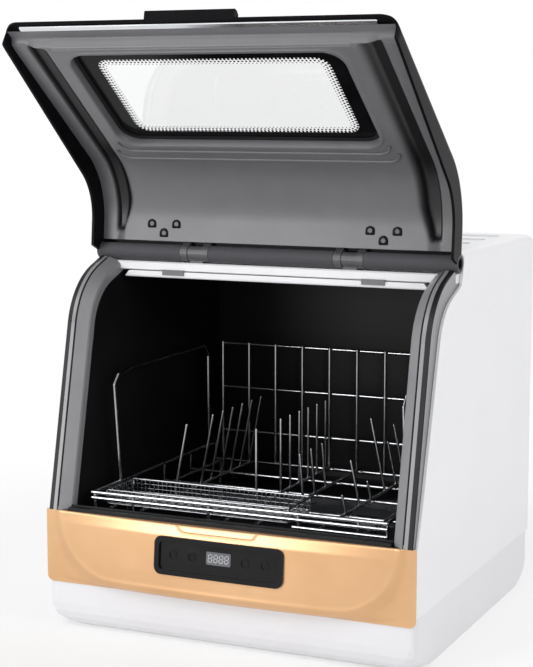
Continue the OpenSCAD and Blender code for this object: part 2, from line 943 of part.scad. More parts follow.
side_in = half_w - lid_t;
shell_deep = lid_depth + 20;
shell_pts = mirrored(rounded([[0, 0, 0], [half_w, 0, lid_edge_r], [half_w, shell_deep, 0],
                              [side_in, shell_deep, 0], [side_in, lid_t, lid_edge_r - lid_t],
                              [0, lid_t, 0]]));

// Rectangle round the see-through glass, grown by side, near and far
module window_shape(side, near, far, r)
    polygon(rect(-window_w / 2 - side, window_from - near, window_w / 2 + side,
                 window_to + far, r));

// Glass outline, grown by g
module pane_shape(g)
    window_shape(border_side + g, border_near + g, border_far + g, window_r + 6 + g);

module lid_shell() {
    color(black)
    lid_open()
        difference() {
            union() {
                difference() {
                    swept(0, front_run)
                        section(shell_pts);
                    under_seat(run_gap);
                    translate([-big, seat_start_y - run_gap, -big])
                        cube([2 * big, big, big + hinge.y]);
                    translate([-big, front_mid - field_out, -big])
                        cube([2 * big, big, big + sill_z + run_gap]);
                }
                bar_x([-half_w, hinge.x, hinge.y], body_w, barrel_r, 64);
            }
            both()
                bar_x([hinge_x - pin_l / 2 - 0.5, hinge.x, hinge.y], pin_l + 1,
                      barrel_r + 1.6, 64);
            both()
                bar_x([half_w - 6, hinge.x, hinge.y], 7, barrel_r - 2);
            plate(-3, lid_t + 1)
                window_shape(8, 8, 8, window_r + 8);
            plate(-5, shell_deep)
                difference() {
                    translate([-big, front_run - lid_corner_r])
                        square([2 * big, 2 * lid_corner_r]);
                    polygon(rounded([[-half_w, -big, 0], [half_w, -big, 0],
                                     [half_w, front_run, lid_corner_r],
                                     [-half_w, front_run, lid_corner_r]], 8));
                }
        }
}

liner_low = frame_in - 1.5;
liner_t0 = 12;
liner_s = front_run - 20;
groove_x = tub_half + 3.5;
groove_d = liner_low - 3;
liner_half = half_w - lid_t - 5.5;

// Inner face of the liner from its middle out to its flange, in (x, d), and its outer face
liner_face = [[groove_x - 13, liner_in], [groove_x - 4, liner_low + 0.5],
              [groove_x - 2.5, groove_d], [groove_x + 2.5, groove_d],
              [groove_x + 4, liner_low], [liner_half, liner_low], [liner_half, lid_t]];
liner_back = [[liner_half - liner_t, lid_t], [liner_half - liner_t, liner_low - liner_t],
              [groove_x + 5.5, liner_low - liner_t], [groove_x + 4, groove_d - liner_t],
              [groove_x - 4, groove_d - liner_t], [groove_x - 5.5, liner_low - liner_t],
              [groove_x - 14, liner_in - liner_t]];

// Two screws abreast and one below them, in each corner of the liner: [x, t]
screw_at = [[hinge_x + 23, 31], [hinge_x + 38, 21], [hinge_x + 53, 31]];
screw_d = liner_in - 1.2;
leaf_t = 2.5;

// Something at x and t under the lid's top, pointing in from depth d
module at_top(x, t, d)
    translate([x, on_top(t, d).x, on_top(t, d).y])
        rotate([180 + seat_slope, 0, 0])
            children();

border_d = lid_t + glass_t;
border_t = 0.4;
gasket_d = border_d + border_t;
surround_d = gasket_d + 1.5;

module lid_liner() {
    color(grey)
    lid_open()
        difference() {
            union() {
                swept(liner_t0, liner_s)
                    section(mirrored(concat(liner_face, liner_back)));
                intersection() {
                    bend_frame()
                        run(180 - lid_lean, liner_s + liner_t)
                            section(mirrored(concat(liner_face, [[1, lid_t]])));
                    plate(-1, shell_deep)
                        translate([-big, liner_s - 0.1])
                            square([2 * big, liner_t + 1]);
                }
                plate(lid_t, lid_t + 1.5)
                    polygon(rect(-liner_half + 10, liner_s, liner_half - 10,
                                 front_run - trim_from - trim_w - 1, 1));
                plate(surround_d, liner_in + 1.5)
                    pane_shape(surround_w + 1);
            }
            plate(-1, liner_in + 5)
                pane_shape(1);
            plate(liner_in - 1, liner_in + 5)
                pane_shape(2.5);
            both()
                for (p = screw_at) {
                    at_top(p.x, p.y, screw_d)
                        cylinder(h = 5, r = 5.5, $fn = 32);
                    at_top(p.x, p.y, liner_in - liner_t - 1)
                        cylinder(h = 4, r = 1.8, $fn = 16);
                }
        }
}

module window_glass() {
    color(clear)
    lid_open()
        plate(lid_t, border_d)
            pane_shape(0);
}

module window_border() {
    color(black)
    lid_open()
        plate(border_d, gasket_d)
            difference() {
                pane_shape(0);
                window_shape(0, 0, 0, window_r);
            }
}

module window_gasket() {
    color(coal)
    lid_open()
        plate(gasket_d, surround_d)
            difference() {
                pane_shape(surround_w);
                pane_shape(-3);
            }
}

module lid_handle() {
    color(black)
    lid_open()
        across(-handle_w / 2, handle_w / 2)
            polygon([on_front(front_run - 9, 0), on_front(front_run - 5, -handle_out + 1),
                     on_front(front_run, -handle_out), on_front(front_run + 4, -handle_out + 1),
                     on_front(front_run + 4, -handle_out + 3), on_front(front_run, lid_t - 0.5),
                     on_front(front_run, 0)]);
}

module lip_trim() {
    color(steel)
    lid_open()
        plate(lid_t, lid_t + 0.8)
            polygon(rect(-half_w + lid_corner_r + 2, front_run - trim_from - trim_w,
                         half_w - lid_corner_r - 2, front_run - trim_from, 1.5));
}

module hinge_leaves() {
    color(steel)
    lid_open()
        both()
            difference() {
                union() {
                    for (x = [hinge_x - pin_l / 2, hinge_x + pin_l / 2 - ear_w]) {
                        bar_x([x, hinge.x, hinge.y], ear_w, barrel_r, 64);
                        across(x, x + ear_w)
                            polygon([on_top(0, lid_t), on_top(13, lid_t), on_top(13, lid_t + 5),
                                     on_top(0, 2 * barrel_r - 2)]);
                    }
                    across(hinge_x - pin_l / 2, hinge_x + 62)
                        polygon([on_top(12, lid_t), on_top(32, lid_t), on_top(32, lid_t + leaf_t),
                                 on_top(12, lid_t + leaf_t)]);
                }
                bar_x([hinge_x - pin_l, hinge.x, hinge.y], 2 * pin_l, pin_r, 64);
            }
}

module lid_screws() {
    color(steel)
    lid_open()
        both()
            for (p = screw_at) {
                at_top(p.x, p.y, screw_d)
                    cylinder(h = 1.8, r = 3.8, $fn = 32);
                at_top(p.x, p.y, lid_t + leaf_t)
                    cylinder(h = screw_d - lid_t - leaf_t + 0.1, r = 1.8, $fn = 16);
            }
}

module lid_end_caps() {
    color(coal)
    lid_open()
        both()
            difference() {
                bar_x([half_w - 6, hinge.x, hinge.y], 5.5, barrel_r - 2);
                bar_x([half_w - 4.5, hinge.x, hinge.y], 5, barrel_r - 3.6);
            }
}

module lid_magnet() {
    color(coal)
    lid_open()
        plate(lid_t, lid_t + 6)
            polygon(rect(154, liner_s - 14, 168, liner_s - 2, 1));
}

// ---- rack ----

weld = 0.2;
fore_z = cross_z + 2 * wire_r - weld;
cross_y = [rack_front_y, -85, -8, 60, rack_rear_y];
leg_x = rack_half - 18;
leg_y = [-128, 104];
post_top = rack_rim_z - wire_r + weld;

module rack_base() {
    color(steel) {
        for (y = cross_y)
            bent([[-rack_half, y, post_top], [-rack_half, y, cross_z],
                  [rack_half, y, cross_z], [rack_half, y, post_top]]);
        for (x = [-leg_x, leg_x - 10]) {
            wire([x, rack_front_y, cross_z + 3], [x, rack_rear_y, cross_z + 3]);
            for (y = leg_y)
                wire([x, y, tub_floor_z + 0.3], [x, y, cross_z + 3], wire_r - 0.2);
        }
    }
}

grid_count = 9;
grid_y = rack_rear_y + 2 * wire_r - weld;

module rack_back() {
    rail_at = grid_y + 2 * wire_r + hair;
    color(steel) {
        for (z = [rack_high_z, rack_high_z - 54, rack_high_z - 108])
            wire([-rack_half + 6, rail_at, z], [rack_half - 6, rail_at, z]);
        for (i = [0:grid_count])
            let (x = (rack_half - 9) * (2 * i / grid_count - 1))
            wire([x, grid_y, cross_z - 1], [x, grid_y, rack_high_z + 2]);
    }
}

rail_y = rack_front_y - 2 * wire_r + weld;

module rack_hoop(x) {
    wire([x, rail_y + wire_r - weld, rack_rim_z], [x, rack_rear_y + 1, rack_rim_z]);
    bent([[x, 110, rack_rim_z + 0.9], [x, 108, rack_high_z - 13], [x, 98, rack_high_z],
          [x, -77, rack_high_z], [x, -113, rack_high_z - 4], [x, -122, rack_high_z - 14],
          [x, -110, rack_rim_z + 0.9]]);
}

module rack_left() {
    color(steel)
    rack_hoop(-rack_half);
}

module rack_right() {
    color(steel)
    rack_hoop(rack_half);
}

front_low_rail = cross_z + 6;

module rack_front() {
    color(steel) {
        for (z = [rack_rim_z, rack_rim_z - 6])
            wire([-rack_half - 1.5, rail_y, z], [rack_half + 1.5, rail_y, z]);
        wire([basket_right + 8, rail_y, front_low_rail], [rack_half + 1.5, rail_y, front_low_rail]);
        for (x = [-120, -30, basket_right + 14, rack_half - 30])
            wire([x, rail_y + 0.2, cross_z - 1], [x, rail_y + 0.2, rack_rim_z], tine_r);
    }
}

// One fore-and-aft wire with leaning tines at the given [distance, length]
module tine_row(x, lean, spots) {
    wire([x, rack_front_y, fore_z], [x, rack_rear_y, fore_z]);
    for (p = spots)
        wire([x, p[0], fore_z], [x + p[1] * sin(lean), p[0], fore_z + p[1] * cos(lean)], tine_r);
}

long_rows = concat([[-89, tine_l]], [for (i = [0:5]) [-24 + tine_pitch * i, tine_l]]);

module tine_row_left() {
    color(steel)
    tine_row(left_row - rack_half, 11, long_rows);
}

module tine_row_middle() {
    color(steel)
    tine_row(middle_row_x, 0, long_rows);
}

module tine_row_short() {
    color(steel)
    tine_row(short_row_x, -5, [for (i = [0:2]) [-44 + 32 * i, 0.6 * tine_l]]);
}

module tine_row_right() {
    color(steel)
    tine_row(rack_half - right_row, -12, [[-88, 0.24 * tine_l], [-48, 0.6 * tine_l], [-14, 0.24 * tine_l],
                       [30, tine_l], [66, 0.6 * tine_l], [94, 0.78 * tine_l]]);
}

basket_z = fore_z + wire_r + 0.1;

// Rectangle with square holes on a pitch
module mesh(w, h) {
    nx = floor((w - mesh_bar) / mesh_pitch);
    ny = floor((h - mesh_bar) / mesh_pitch);
    px = (w - mesh_bar) / nx;
    py = (h - mesh_bar) / ny;
    difference() {
        square([w, h]);
        for (i = [0:nx - 1], j = [0:ny - 1])
            translate([mesh_bar + i * px, mesh_bar + j * py])
                square([px - mesh_bar, py - mesh_bar]);
    }
}

module cutlery_basket() {
    w = basket_right - basket_left;
    l = basket_rear - basket_front;
    color(grey)
    translate([basket_left, basket_front, basket_z]) {
        linear_extrude(height = basket_t)
            mesh(w, l);
        for (y = [basket_t, l])
            translate([0, y, 0])
                rotate([90, 0, 0])
                    linear_extrude(height = basket_t)
                        mesh(w, basket_h);
        for (x = [0, w - basket_t])
            translate([x, 0, 0])
                rotate([90, 0, 90])
                    linear_extrude(height = basket_t)
                        mesh(l, basket_h);
    }
}

// ---- washing system ----

arm_z = tub_floor_z + 8.4;
arm_h = 9;
post_r = 9;

// Half width and sideways bend of the arm at the fraction u of its reach
function arm_half(u) = 0.5 * spray_w * (1 - 0.55 * pow(u, 1.6));
function arm_bend(u) = 14 * sin(180 * u);
arm_steps = 12;
arm_edge = concat(
    [for (i = [0:arm_steps]) let (u = i / arm_steps) [u * spray_reach, arm_bend(u) + arm_half(u)]],
    [for (i = [arm_steps:-1:0]) let (u = i / arm_steps) [u * spray_reach, arm_bend(u) - arm_half(u)]]);

module arm_plan(k, h)
    for (a = [0, 180])
        rotate([0, 0, a])
            linear_extrude(height = h)
                polygon(k * arm_edge);

module spray_arm() {
    color(coal)
    difference() {
        union() {
            translate([0, 0, arm_z])
                arm_plan(1, arm_h - 2);
            translate([0, 0, arm_z + arm_h - 2.1])
                arm_plan(0.93, 2.1);
            translate([0, 0, arm_z])
                cylinder(h = arm_h + 1, r = spray_w / 2 + 4, $fn = 64);
        }
        translate([0, 0, arm_z - 1])
            cylinder(h = arm_h + 3, r = post_r + 0.06, $fn = 64);
        for (a = [0, 180], i = [1:nozzle_count])
            rotate([0, 0, a])
                translate([spray_reach * i / (nozzle_count + 0.7),
                           arm_bend(i / (nozzle_count + 0.7)), arm_z + arm_h - 4])
                    cylinder(h = 6, r = 1.8, $fn = 24);
    }
}

hub_r = 15;

module spray_hub() {
    color(coal) {
        translate([0, 0, tub_floor_z - tub_t - 22])
            cylinder(h = 23, r = hub_r, $fn = 48);
        translate([0, 0, tub_floor_z - tub_t])
            cylinder(h = tub_t + 8, r = hub_r + 1, $fn = 48);
        translate([0, 0, tub_floor_z + 7])
            cylinder(h = arm_h + 5, r = post_r, $fn = 64);
        translate([0, 0, arm_z + arm_h + 1.4])
            cylinder(h = 3.4, r1 = 14, r2 = 12, $fn = 64);
    }
}

module at_filter(z)
    translate([filter_at.x, filter_at.y, z])
        children();

cup_r = filter_r - 5;

module filter_cup() {
    color(grey)
    difference() {
        union() {
            at_filter(tub_floor_z + 1.3)
                cylinder(h = 1.6, r = filter_r + 2, $fn = 96);
            at_filter(tub_floor_z - well_depth + 4)
                cylinder(h = well_depth - 2, r = cup_r, $fn = 96);
        }
        difference() {
            at_filter(tub_floor_z - well_depth + 5.5)
                cylinder(h = well_depth, r = cup_r - 1.6, $fn = 96);
            at_filter(tub_floor_z - 6)
                translate([-cup_r, -3, 0])
                    cube([2 * cup_r, 6, 8.9]);
        }
        for (a = [0:30:330])
            at_filter(tub_floor_z - well_depth + 9)
                rotate([0, 0, a])
                    translate([cup_r - 4, -3, 0])
                        cube([8, 6, well_depth - 18]);
    }
}

module filter_plate() {
    color(steel)
    difference() {
        at_filter(tub_floor_z)
            cylinder(h = 1.2, r = filter_r + 22, $fn = 96);
        at_filter(tub_floor_z - 1)
            cylinder(h = 4, r = cup_r + 1, $fn = 96);
        for (k = [0:1], a = [0:12:348])
            at_filter(tub_floor_z - 1)
                rotate([0, 0, a + 6 * k])
                    translate([filter_r + 7 + 8 * k, 0, 0])
                        cylinder(h = 4, r = 2, $fn = 16);
    }
}

sump_top = tub_floor_z - tub_t;

module sump() {
    color(coal)
    difference() {
        union() {
            at_filter(sump_top - 3)
                cylinder(h = 3, r = well_r + 10, $fn = 96);
            at_filter(tub_floor_z - well_depth - 2)
                cylinder(h = well_depth - 1, r = well_r + 2, $fn = 96);
            translate([0, 0, sump_top - 24])
                cylinder(h = 24, r = hub_r + 5, $fn = 64);
            translate([0, 0, sump_top - 22])
                rotate([0, 0, atan2(filter_at.y, filter_at.x)])
                    translate([0, -12, 0])
                        cube([norm(filter_at) - filter_r, 24, 18]);
        }
        at_filter(tub_floor_z - well_depth)
            cylinder(h = well_depth + 5, r = well_r, $fn = 96);
        translate([0, 0, sump_top - 22])
            cylinder(h = 30, r = hub_r, $fn = 48);
    }
}

pump_at = [60, 46];

module wash_pump() {
    color(coal) {
        bar_x([-122, pump_at.x, pump_at.y], 62, 28, 64);
        bar_x([-62, pump_at.x, pump_at.y], 24, 34, 64);
        bar_x([-40, pump_at.x, pump_at.y], 26, 12);
        for (x = [-116:10:-72])
            bar_x([x, pump_at.x, pump_at.y], 3, 30, 64);
        for (x = [-110, -76])
            translate([x, pump_at.x - 14, base_t])
                cube([6, 28, 24]);
    }
}

drain_pump_at = [-72, 34];

module drain_pump() {
    color(coal) {
        bar_x([-120, drain_pump_at.x, drain_pump_at.y], 46, 20, 64);
        bar_x([-76, drain_pump_at.x, drain_pump_at.y], 14, 24, 64);
        bar_x([-64, drain_pump_at.x, drain_pump_at.y], 20, 7);
        translate([-108, drain_pump_at.x - 10, base_t])
            cube([24, 20, 16]);
    }
}

heater_z = 84;

module heater() {
    color(steel) {
        for (y = [112, 128, 144])
            wire([-70, y, heater_z], [110, y, heater_z], 4);
        wire([110, 112, heater_z], [110, 128, heater_z], 3.6);
        wire([-70, 128, heater_z], [-70, 144, heater_z], 3.6);
        for (x = [-40, 80])
            translate([x, 108, heater_z + 2])
                cube([6, 40, sump_top - heater_z - 2]);
    }
}

valve_y = tub_rear_y + tub_t + 1;

module inlet_valve() {
    color(white) {
        translate([inlet_at.x - 16, valve_y, inlet_at.y - 15])
            cube([32, rear_in - rear_t - valve_y, 30]);
        translate([inlet_at.x, valve_y + 8, inlet_at.y - 40])
            cylinder(h = 26, r = 8, $fn = 48);
    }
}

module float_switch() {
    color(white) {
        translate([60, -110, base_t])
            cylinder(h = 10, r = 16, $fn = 48);
        translate([60, -110, base_t + 9])
            cylinder(h = 24, r = 4, $fn = 32);
        translate([48, -118, base_t + 32])
            cube([30, 16, 12]);
    }
}

fan_y = tub_rear_y + tub_t;
fan_h = rear_in - rear_t - fan_y;

module drying_fan() {
    color(coal) {
        difference() {
            back(fan_y, fan_y + fan_h)
                polygon(rect(fan_at.x - fan_r - 4, fan_at.y - fan_r - 4, fan_at.x + fan_r + 4,
                             fan_at.y + fan_r + 4, 5));
            bar_y([fan_at.x, fan_y - 1, fan_at.y], fan_h + 2, fan_r);
        }
        bar_y([fan_at.x, fan_y + 2, fan_at.y], fan_h - 3.5, 11);
        for (a = [10:60:310])
            translate([fan_at.x, fan_y + 0.4 * fan_h, fan_at.y])
                rotate([0, a, 0])
                    rotate([30, 0, 0])
                        translate([8, -0.8, -7])
                            cube([fan_r - 9, 1.6, 14]);
        for (a = [40:120:280])
            translate([fan_at.x, rear_in - rear_t - 2.2, fan_at.y])
                rotate([0, a, 0])
                    translate([5, 0, -2])
                        cube([fan_r - 4, 2.2, 4]);
    }
}

module water_inlet() {
    color(white)
    difference() {
        union() {
            bar_y([inlet_at.x, rear_in - rear_t, inlet_at.y], rear_t + 1, inlet_r - 1.2);
            bar_y([inlet_at.x, rear_in, inlet_at.y], 2.5, inlet_r + 4);
            bar_y([inlet_at.x, rear_in + 2.4, inlet_at.y], inlet_l, inlet_r, 64);
        }
        bar_y([inlet_at.x, rear_in - rear_t - 1, inlet_at.y], inlet_l + 9, inlet_r - 4);
    }
}

module drain_spigot() {
    color(coal)
    difference() {
        union() {
            bar_y([drain_at.x, rear_in - rear_t, drain_at.y], rear_t + 1, drain_r - 0.2);
            bar_y([drain_at.x, rear_in, drain_at.y], 2.5, drain_r + 5);
            bar_y([drain_at.x, rear_in + 2.4, drain_at.y], drain_l, drain_r, 64);
        }
        bar_y([drain_at.x, rear_in - rear_t - 1, drain_at.y], drain_l + 9, drain_r - 2.5);
    }
}

module power_gland() {
    color(coal)
    difference() {
        union() {
            bar_y([gland_at.x, rear_in - rear_t, gland_at.y], rear_t + 1, 7.8);
            bar_y([gland_at.x, rear_in, gland_at.y], 3, 13);
            bar_y([gland_at.x, rear_in + 2.9, gland_at.y], 9, 8.5);
        }
        bar_y([gland_at.x, rear_in - rear_t - 1, gland_at.y], 20, 4.2);
    }
}

module panel_screws() {
    color(steel)
    both()
        for (z = [seam_z + 14, 0.5 * (seam_z + body_h), body_h - rear_frame_z - 12])
            bar_y([half_w - rear_frame_x - 12, rear_in, z], 1.6, 3.5, 32);
}

outer_casing();
rear_panel();
base_tray();
feet();
front_panel();
control_bezel();
control_glass();
touch_keys();
display_window();
display_board();
control_board();
tub();
tub_sides();
frame_side_left();
frame_side_right();
frame_trim();
frame_header();
frame_sill();
door_seal();
light_bar();
light_clips();
hinge_brackets();
hinge_pins();
reed_switch();
lid_shell();
lid_liner();
window_glass();
window_border();
window_gasket();
lid_handle();
lip_trim();
hinge_leaves();
lid_screws();
lid_end_caps();
lid_magnet();
rack_base();
rack_back();
rack_left();
rack_right();
rack_front();
tine_row_left();
tine_row_middle();
tine_row_short();
tine_row_right();
cutlery_basket();
spray_arm();
spray_hub();
filter_cup();
filter_plate();
sump();
wash_pump();
drain_pump();
heater();
inlet_valve();
float_switch();
drying_fan();
water_inlet();
drain_spigot();
power_gland();
panel_screws();
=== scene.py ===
import math

import bmesh
import bpy
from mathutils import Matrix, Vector


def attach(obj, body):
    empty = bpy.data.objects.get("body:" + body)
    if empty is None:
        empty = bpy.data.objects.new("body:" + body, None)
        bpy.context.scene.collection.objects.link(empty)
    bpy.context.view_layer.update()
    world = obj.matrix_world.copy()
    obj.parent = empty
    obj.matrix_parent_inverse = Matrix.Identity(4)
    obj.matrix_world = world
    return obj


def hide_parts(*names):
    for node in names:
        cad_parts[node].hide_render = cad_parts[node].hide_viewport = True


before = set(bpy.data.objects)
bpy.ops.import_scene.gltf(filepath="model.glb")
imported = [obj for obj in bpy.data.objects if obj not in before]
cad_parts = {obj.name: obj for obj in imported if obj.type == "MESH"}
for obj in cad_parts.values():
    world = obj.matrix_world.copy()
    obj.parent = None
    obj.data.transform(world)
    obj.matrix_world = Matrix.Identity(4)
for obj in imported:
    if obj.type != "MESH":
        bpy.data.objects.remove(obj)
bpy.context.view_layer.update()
mm = 0.001  # the pieces below are given in millimetres
print("frame loaded,", len(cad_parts), "nodes")


# camera and light

view = {
    "place": (0.7422, -1.7165, 0.5630),
    "azimuth": 24.51,  # degrees round to the right of the front
    "pitch": 7.77,  # degrees below level
    "lens": 91.4,
}


def makeCamera():
    turn, dip = math.radians(view["azimuth"]), math.radians(view["pitch"])
    ahead = Vector((-math.sin(turn) * math.cos(dip), math.cos(turn) * math.cos(dip), -math.sin(dip)))
    camera = bpy.data.objects.new("camera", bpy.data.cameras.new("camera"))
    bpy.context.collection.objects.link(camera)
    camera.location = view["place"]
    camera.rotation_mode = "QUATERNION"
    camera.rotation_quaternion = ahead.to_track_quat("-Z", "Y")
    camera.data.lens = view["lens"]
    camera.data.sensor_width = 36
    bpy.context.scene.camera = camera


studio = {
    "floorSize": 9.0,
    "ambient": 0.52,  # evenly from all round
    "whiteFrom": 0.35,  # distance at which the floor starts to fade to white
    "whiteAt": 0.95,
    "whiteNear": 0.62,  # share of plain white close to the object
    "floorTone": 0.93,
    "floorRough": 0.9,
    "panels": [  # name, place, aims at, width, height, watts
        ("keyPanel", (-1.5, -2.3, 2.5), (0, 0, 0.3), 1.6, 1.6, 33),
        ("sidePanel", (2.7, -0.9, 1.4), (0, 0, 0.25), 1.2, 1.8, 23),
        ("lidPanel", (-1.1, -2.3, 0.62), (0, -0.1, 0.45), 0.9, 0.45, 16),
        ("backPanel", (0.3, 2.4, 2.2), (0, 0, 0.4), 1.8, 1.0, 16),
    ],
}


def makeLights():
    for name, place, target, width, height, watts in studio["panels"]:
        lamp = bpy.data.lights.new(name, "AREA")
        lamp.shape = "RECTANGLE"
        lamp.size, lamp.size_y = width, height
        lamp.energy = watts
        panel = bpy.data.objects.new(name, lamp)
        bpy.context.collection.objects.link(panel)
        panel.location = place
        panel.visible_camera = panel.visible_transmission = False
        panel.rotation_mode = "QUATERNION"
        panel.rotation_quaternion = (Vector(target) - Vector(place)).to_track_quat("-Z", "Y")


def makeWorld():
    world = bpy.data.worlds.new("studioWorld")
    bpy.context.scene.world = world
    world.use_nodes = True
    nodes, links = world.node_tree.nodes, world.node_tree.links
    nodes.clear()
    out = nodes.new("ShaderNodeOutputWorld")
    mix = nodes.new("ShaderNodeMixShader")
    soft, plain = nodes.new("ShaderNodeBackground"), nodes.new("ShaderNodeBackground")
    soft.inputs["Color"].default_value = (1, 1, 1, 1)
    soft.inputs["Strength"].default_value = studio["ambient"]
    plain.inputs["Color"].default_value = (1, 1, 1, 1)
    plain.inputs["Strength"].default_value = 1
    links.new(seenRays(nodes, links), mix.inputs[0])
    links.new(soft.outputs[0], mix.inputs[1])
    links.new(plain.outputs[0], mix.inputs[2])
    links.new(mix.outputs[0], out.inputs["Surface"])


def seenRays(nodes, links):  # one for rays from the camera, for mirrored ones and for those through glass
    path = nodes.new("ShaderNodeLightPath")
    seen = path.outputs["Is Camera Ray"]
    for kind in ("Is Glossy Ray", "Is Transmission Ray"):
        most = nodes.new("ShaderNodeMath")
        most.operation = "MAXIMUM"
        links.new(seen, most.inputs[0])
        links.new(path.outputs[kind], most.inputs[1])
        seen = most.outputs[0]
    return seen


def makeFloor():
    half = studio["floorSize"] / 2
    mesh = bpy.data.meshes.new("floor")
    mesh.from_pydata([(-half, -half, 0), (half, -half, 0), (half, half, 0), (-half, half, 0)], [], [(0, 1, 2, 3)])
    floor = bpy.data.objects.new("floor", mesh)
    bpy.context.collection.objects.link(floor)
    paint = bpy.data.materials.new("floorPaint")
    paint.use_nodes = True
    nodes, links = paint.node_tree.nodes, paint.node_tree.links
    shader, out = nodes["Principled BSDF"], nodes["Material Output"]
    shader.inputs["Base Color"].default_value = (*[studio["floorTone"]] * 3, 1)
    shader.inputs["Roughness"].default_value = studio["floorRough"]
    glow = nodes.new("ShaderNodeEmission")
    glow.inputs["Color"].default_value = (1, 1, 1, 1)
    coords, reach = nodes.new("ShaderNodeTexCoord"), nodes.new("ShaderNodeVectorMath")
    reach.operation = "LENGTH"
    links.new(coords.outputs["Object"], reach.inputs[0])
    fade = nodes.new("ShaderNodeMapRange")
    fade.interpolation_type = "SMOOTHSTEP"
    limits = (studio["whiteFrom"], studio["whiteAt"], studio["whiteNear"], 1.0)
    for label, number in zip(("From Min", "From Max", "To Min", "To Max"), limits):
        fade.inputs[label].default_value = number  # a soft shadow close by, white further out
    links.new(reach.outputs["Value"], fade.inputs["Value"])
    share = nodes.new("ShaderNodeMath")
    share.operation = "MULTIPLY"
    links.new(fade.outputs["Result"], share.inputs[1])
    both = nodes.new("ShaderNodeMixShader")
    links.new(seenRays(nodes, links), share.inputs[0])
    links.new(share.outputs[0], both.inputs[0])
    links.new(shader.outputs[0], both.inputs[1])
    links.new(glow.outputs[0], both.inputs[2])
    links.new(both.outputs[0], out.inputs["Surface"])
    mesh.materials.append(paint)


makeCamera()
makeLights()
makeWorld()
makeFloor()
bpy.context.scene.view_settings.view_transform = "Standard"
print("camera, light and floor ready")


# shared effects, each a node group with its own inputs

def newGroup(name, inputs, outputs):
    tree = bpy.data.node_groups.new(name, "ShaderNodeTree")
    for label, kind, value in inputs:
        socket = tree.interface.new_socket(label, in_out="INPUT", socket_type=kind)
        socket.default_value = value
    for label, kind in outputs:
        tree.interface.new_socket(label, in_out="OUTPUT", socket_type=kind)
    return tree, tree.nodes.new("NodeGroupInput"), tree.nodes.new("NodeGroupOutput")


def mathNode(tree, kind, first, second):
    node = tree.nodes.new("ShaderNodeMath")
    node.operation = kind
    for slot, value in enumerate((first, second)):
        if isinstance(value, (int, float)):
            node.inputs[slot].default_value = value
        else:
            tree.links.new(value, node.inputs[slot])
    return node.outputs[0]


def weighted(tree, first, firstShare, second, secondShare):
    return mathNode(tree, "ADD", mathNode(tree, "MULTIPLY", first, firstShare),
                    mathNode(tree, "MULTIPLY", second, secondShare))


def noiseNode(tree, coords, scale, detail, rough=0.5):
    node = tree.nodes.new("ShaderNodeTexNoise")
    tree.links.new(coords, node.inputs["Vector"])
    if isinstance(scale, (int, float)):
        node.inputs["Scale"].default_value = scale
    else:
        tree.links.new(scale, node.inputs["Scale"])
    node.inputs["Detail"].default_value = detail
    node.inputs["Roughness"].default_value = rough
    return node.outputs["Fac"]


def rangeNode(tree, value, low, high, newLow=0.0, newHigh=1.0):
    node = tree.nodes.new("ShaderNodeMapRange")
    tree.links.new(value, node.inputs["Value"])
    for label, number in zip(("From Min", "From Max", "To Min", "To Max"), (low, high, newLow, newHigh)):
        node.inputs[label].default_value = number
    return node.outputs["Result"]


def buildMouldedGrain():  # spark-eroded skin of moulded plastic, with a slow change of tone
    tree, given, out = newGroup(
        "mouldedGrain",
        [("Grain Scale", "NodeSocketFloat", 900.0), ("Tone Scale", "NodeSocketFloat", 9.0)],
        [("Height", "NodeSocketFloat"), ("Tone", "NodeSocketFloat"), ("Polish", "NodeSocketFloat")],
    )
    coords = tree.nodes.new("ShaderNodeTexCoord").outputs["Object"]
    grain = noiseNode(tree, coords, given.outputs["Grain Scale"], 3.0, 0.65)
    cells = tree.nodes.new("ShaderNodeTexVoronoi")
    tree.links.new(coords, cells.inputs["Vector"])
    tree.links.new(given.outputs["Grain Scale"], cells.inputs["Scale"])
    tone = noiseNode(tree, coords, given.outputs["Tone Scale"], 4.0, 0.6)
    height = weighted(tree, grain, 0.7, cells.outputs["Distance"], 0.3)
    polish = weighted(tree, tone, 0.6, grain, 0.4)
    tree.links.new(height, out.inputs["Height"])
    tree.links.new(rangeNode(tree, tone, 0.3, 0.7), out.inputs["Tone"])
    tree.links.new(rangeNode(tree, polish, 0.3, 0.7), out.inputs["Polish"])
    return tree


def buildHandMarks():  # faint wiped smears and fine scratches on gloss
    tree, given, out = newGroup(
        "handMarks",
        [("Smear Scale", "NodeSocketFloat", 14.0), ("Scratch Scale", "NodeSocketFloat", 260.0)],
        [("Smears", "NodeSocketFloat"), ("Scratches", "NodeSocketFloat")],
    )
    coords = tree.nodes.new("ShaderNodeTexCoord").outputs["Object"]
    stretch = tree.nodes.new("ShaderNodeMapping")
    stretch.inputs["Rotation"].default_value = (0.3, 0.5, 0.6)
    stretch.inputs["Scale"].default_value = (1.0, 1.0, 0.06)
    tree.links.new(coords, stretch.inputs["Vector"])
    smears = noiseNode(tree, coords, given.outputs["Smear Scale"], 6.0, 0.7)
    scratches = noiseNode(tree, stretch.outputs[0], given.outputs["Scratch Scale"], 2.0, 0.4)
    tree.links.new(rangeNode(tree, smears, 0.42, 0.68), out.inputs["Smears"])
    tree.links.new(rangeNode(tree, scratches, 0.62, 0.72), out.inputs["Scratches"])
    return tree


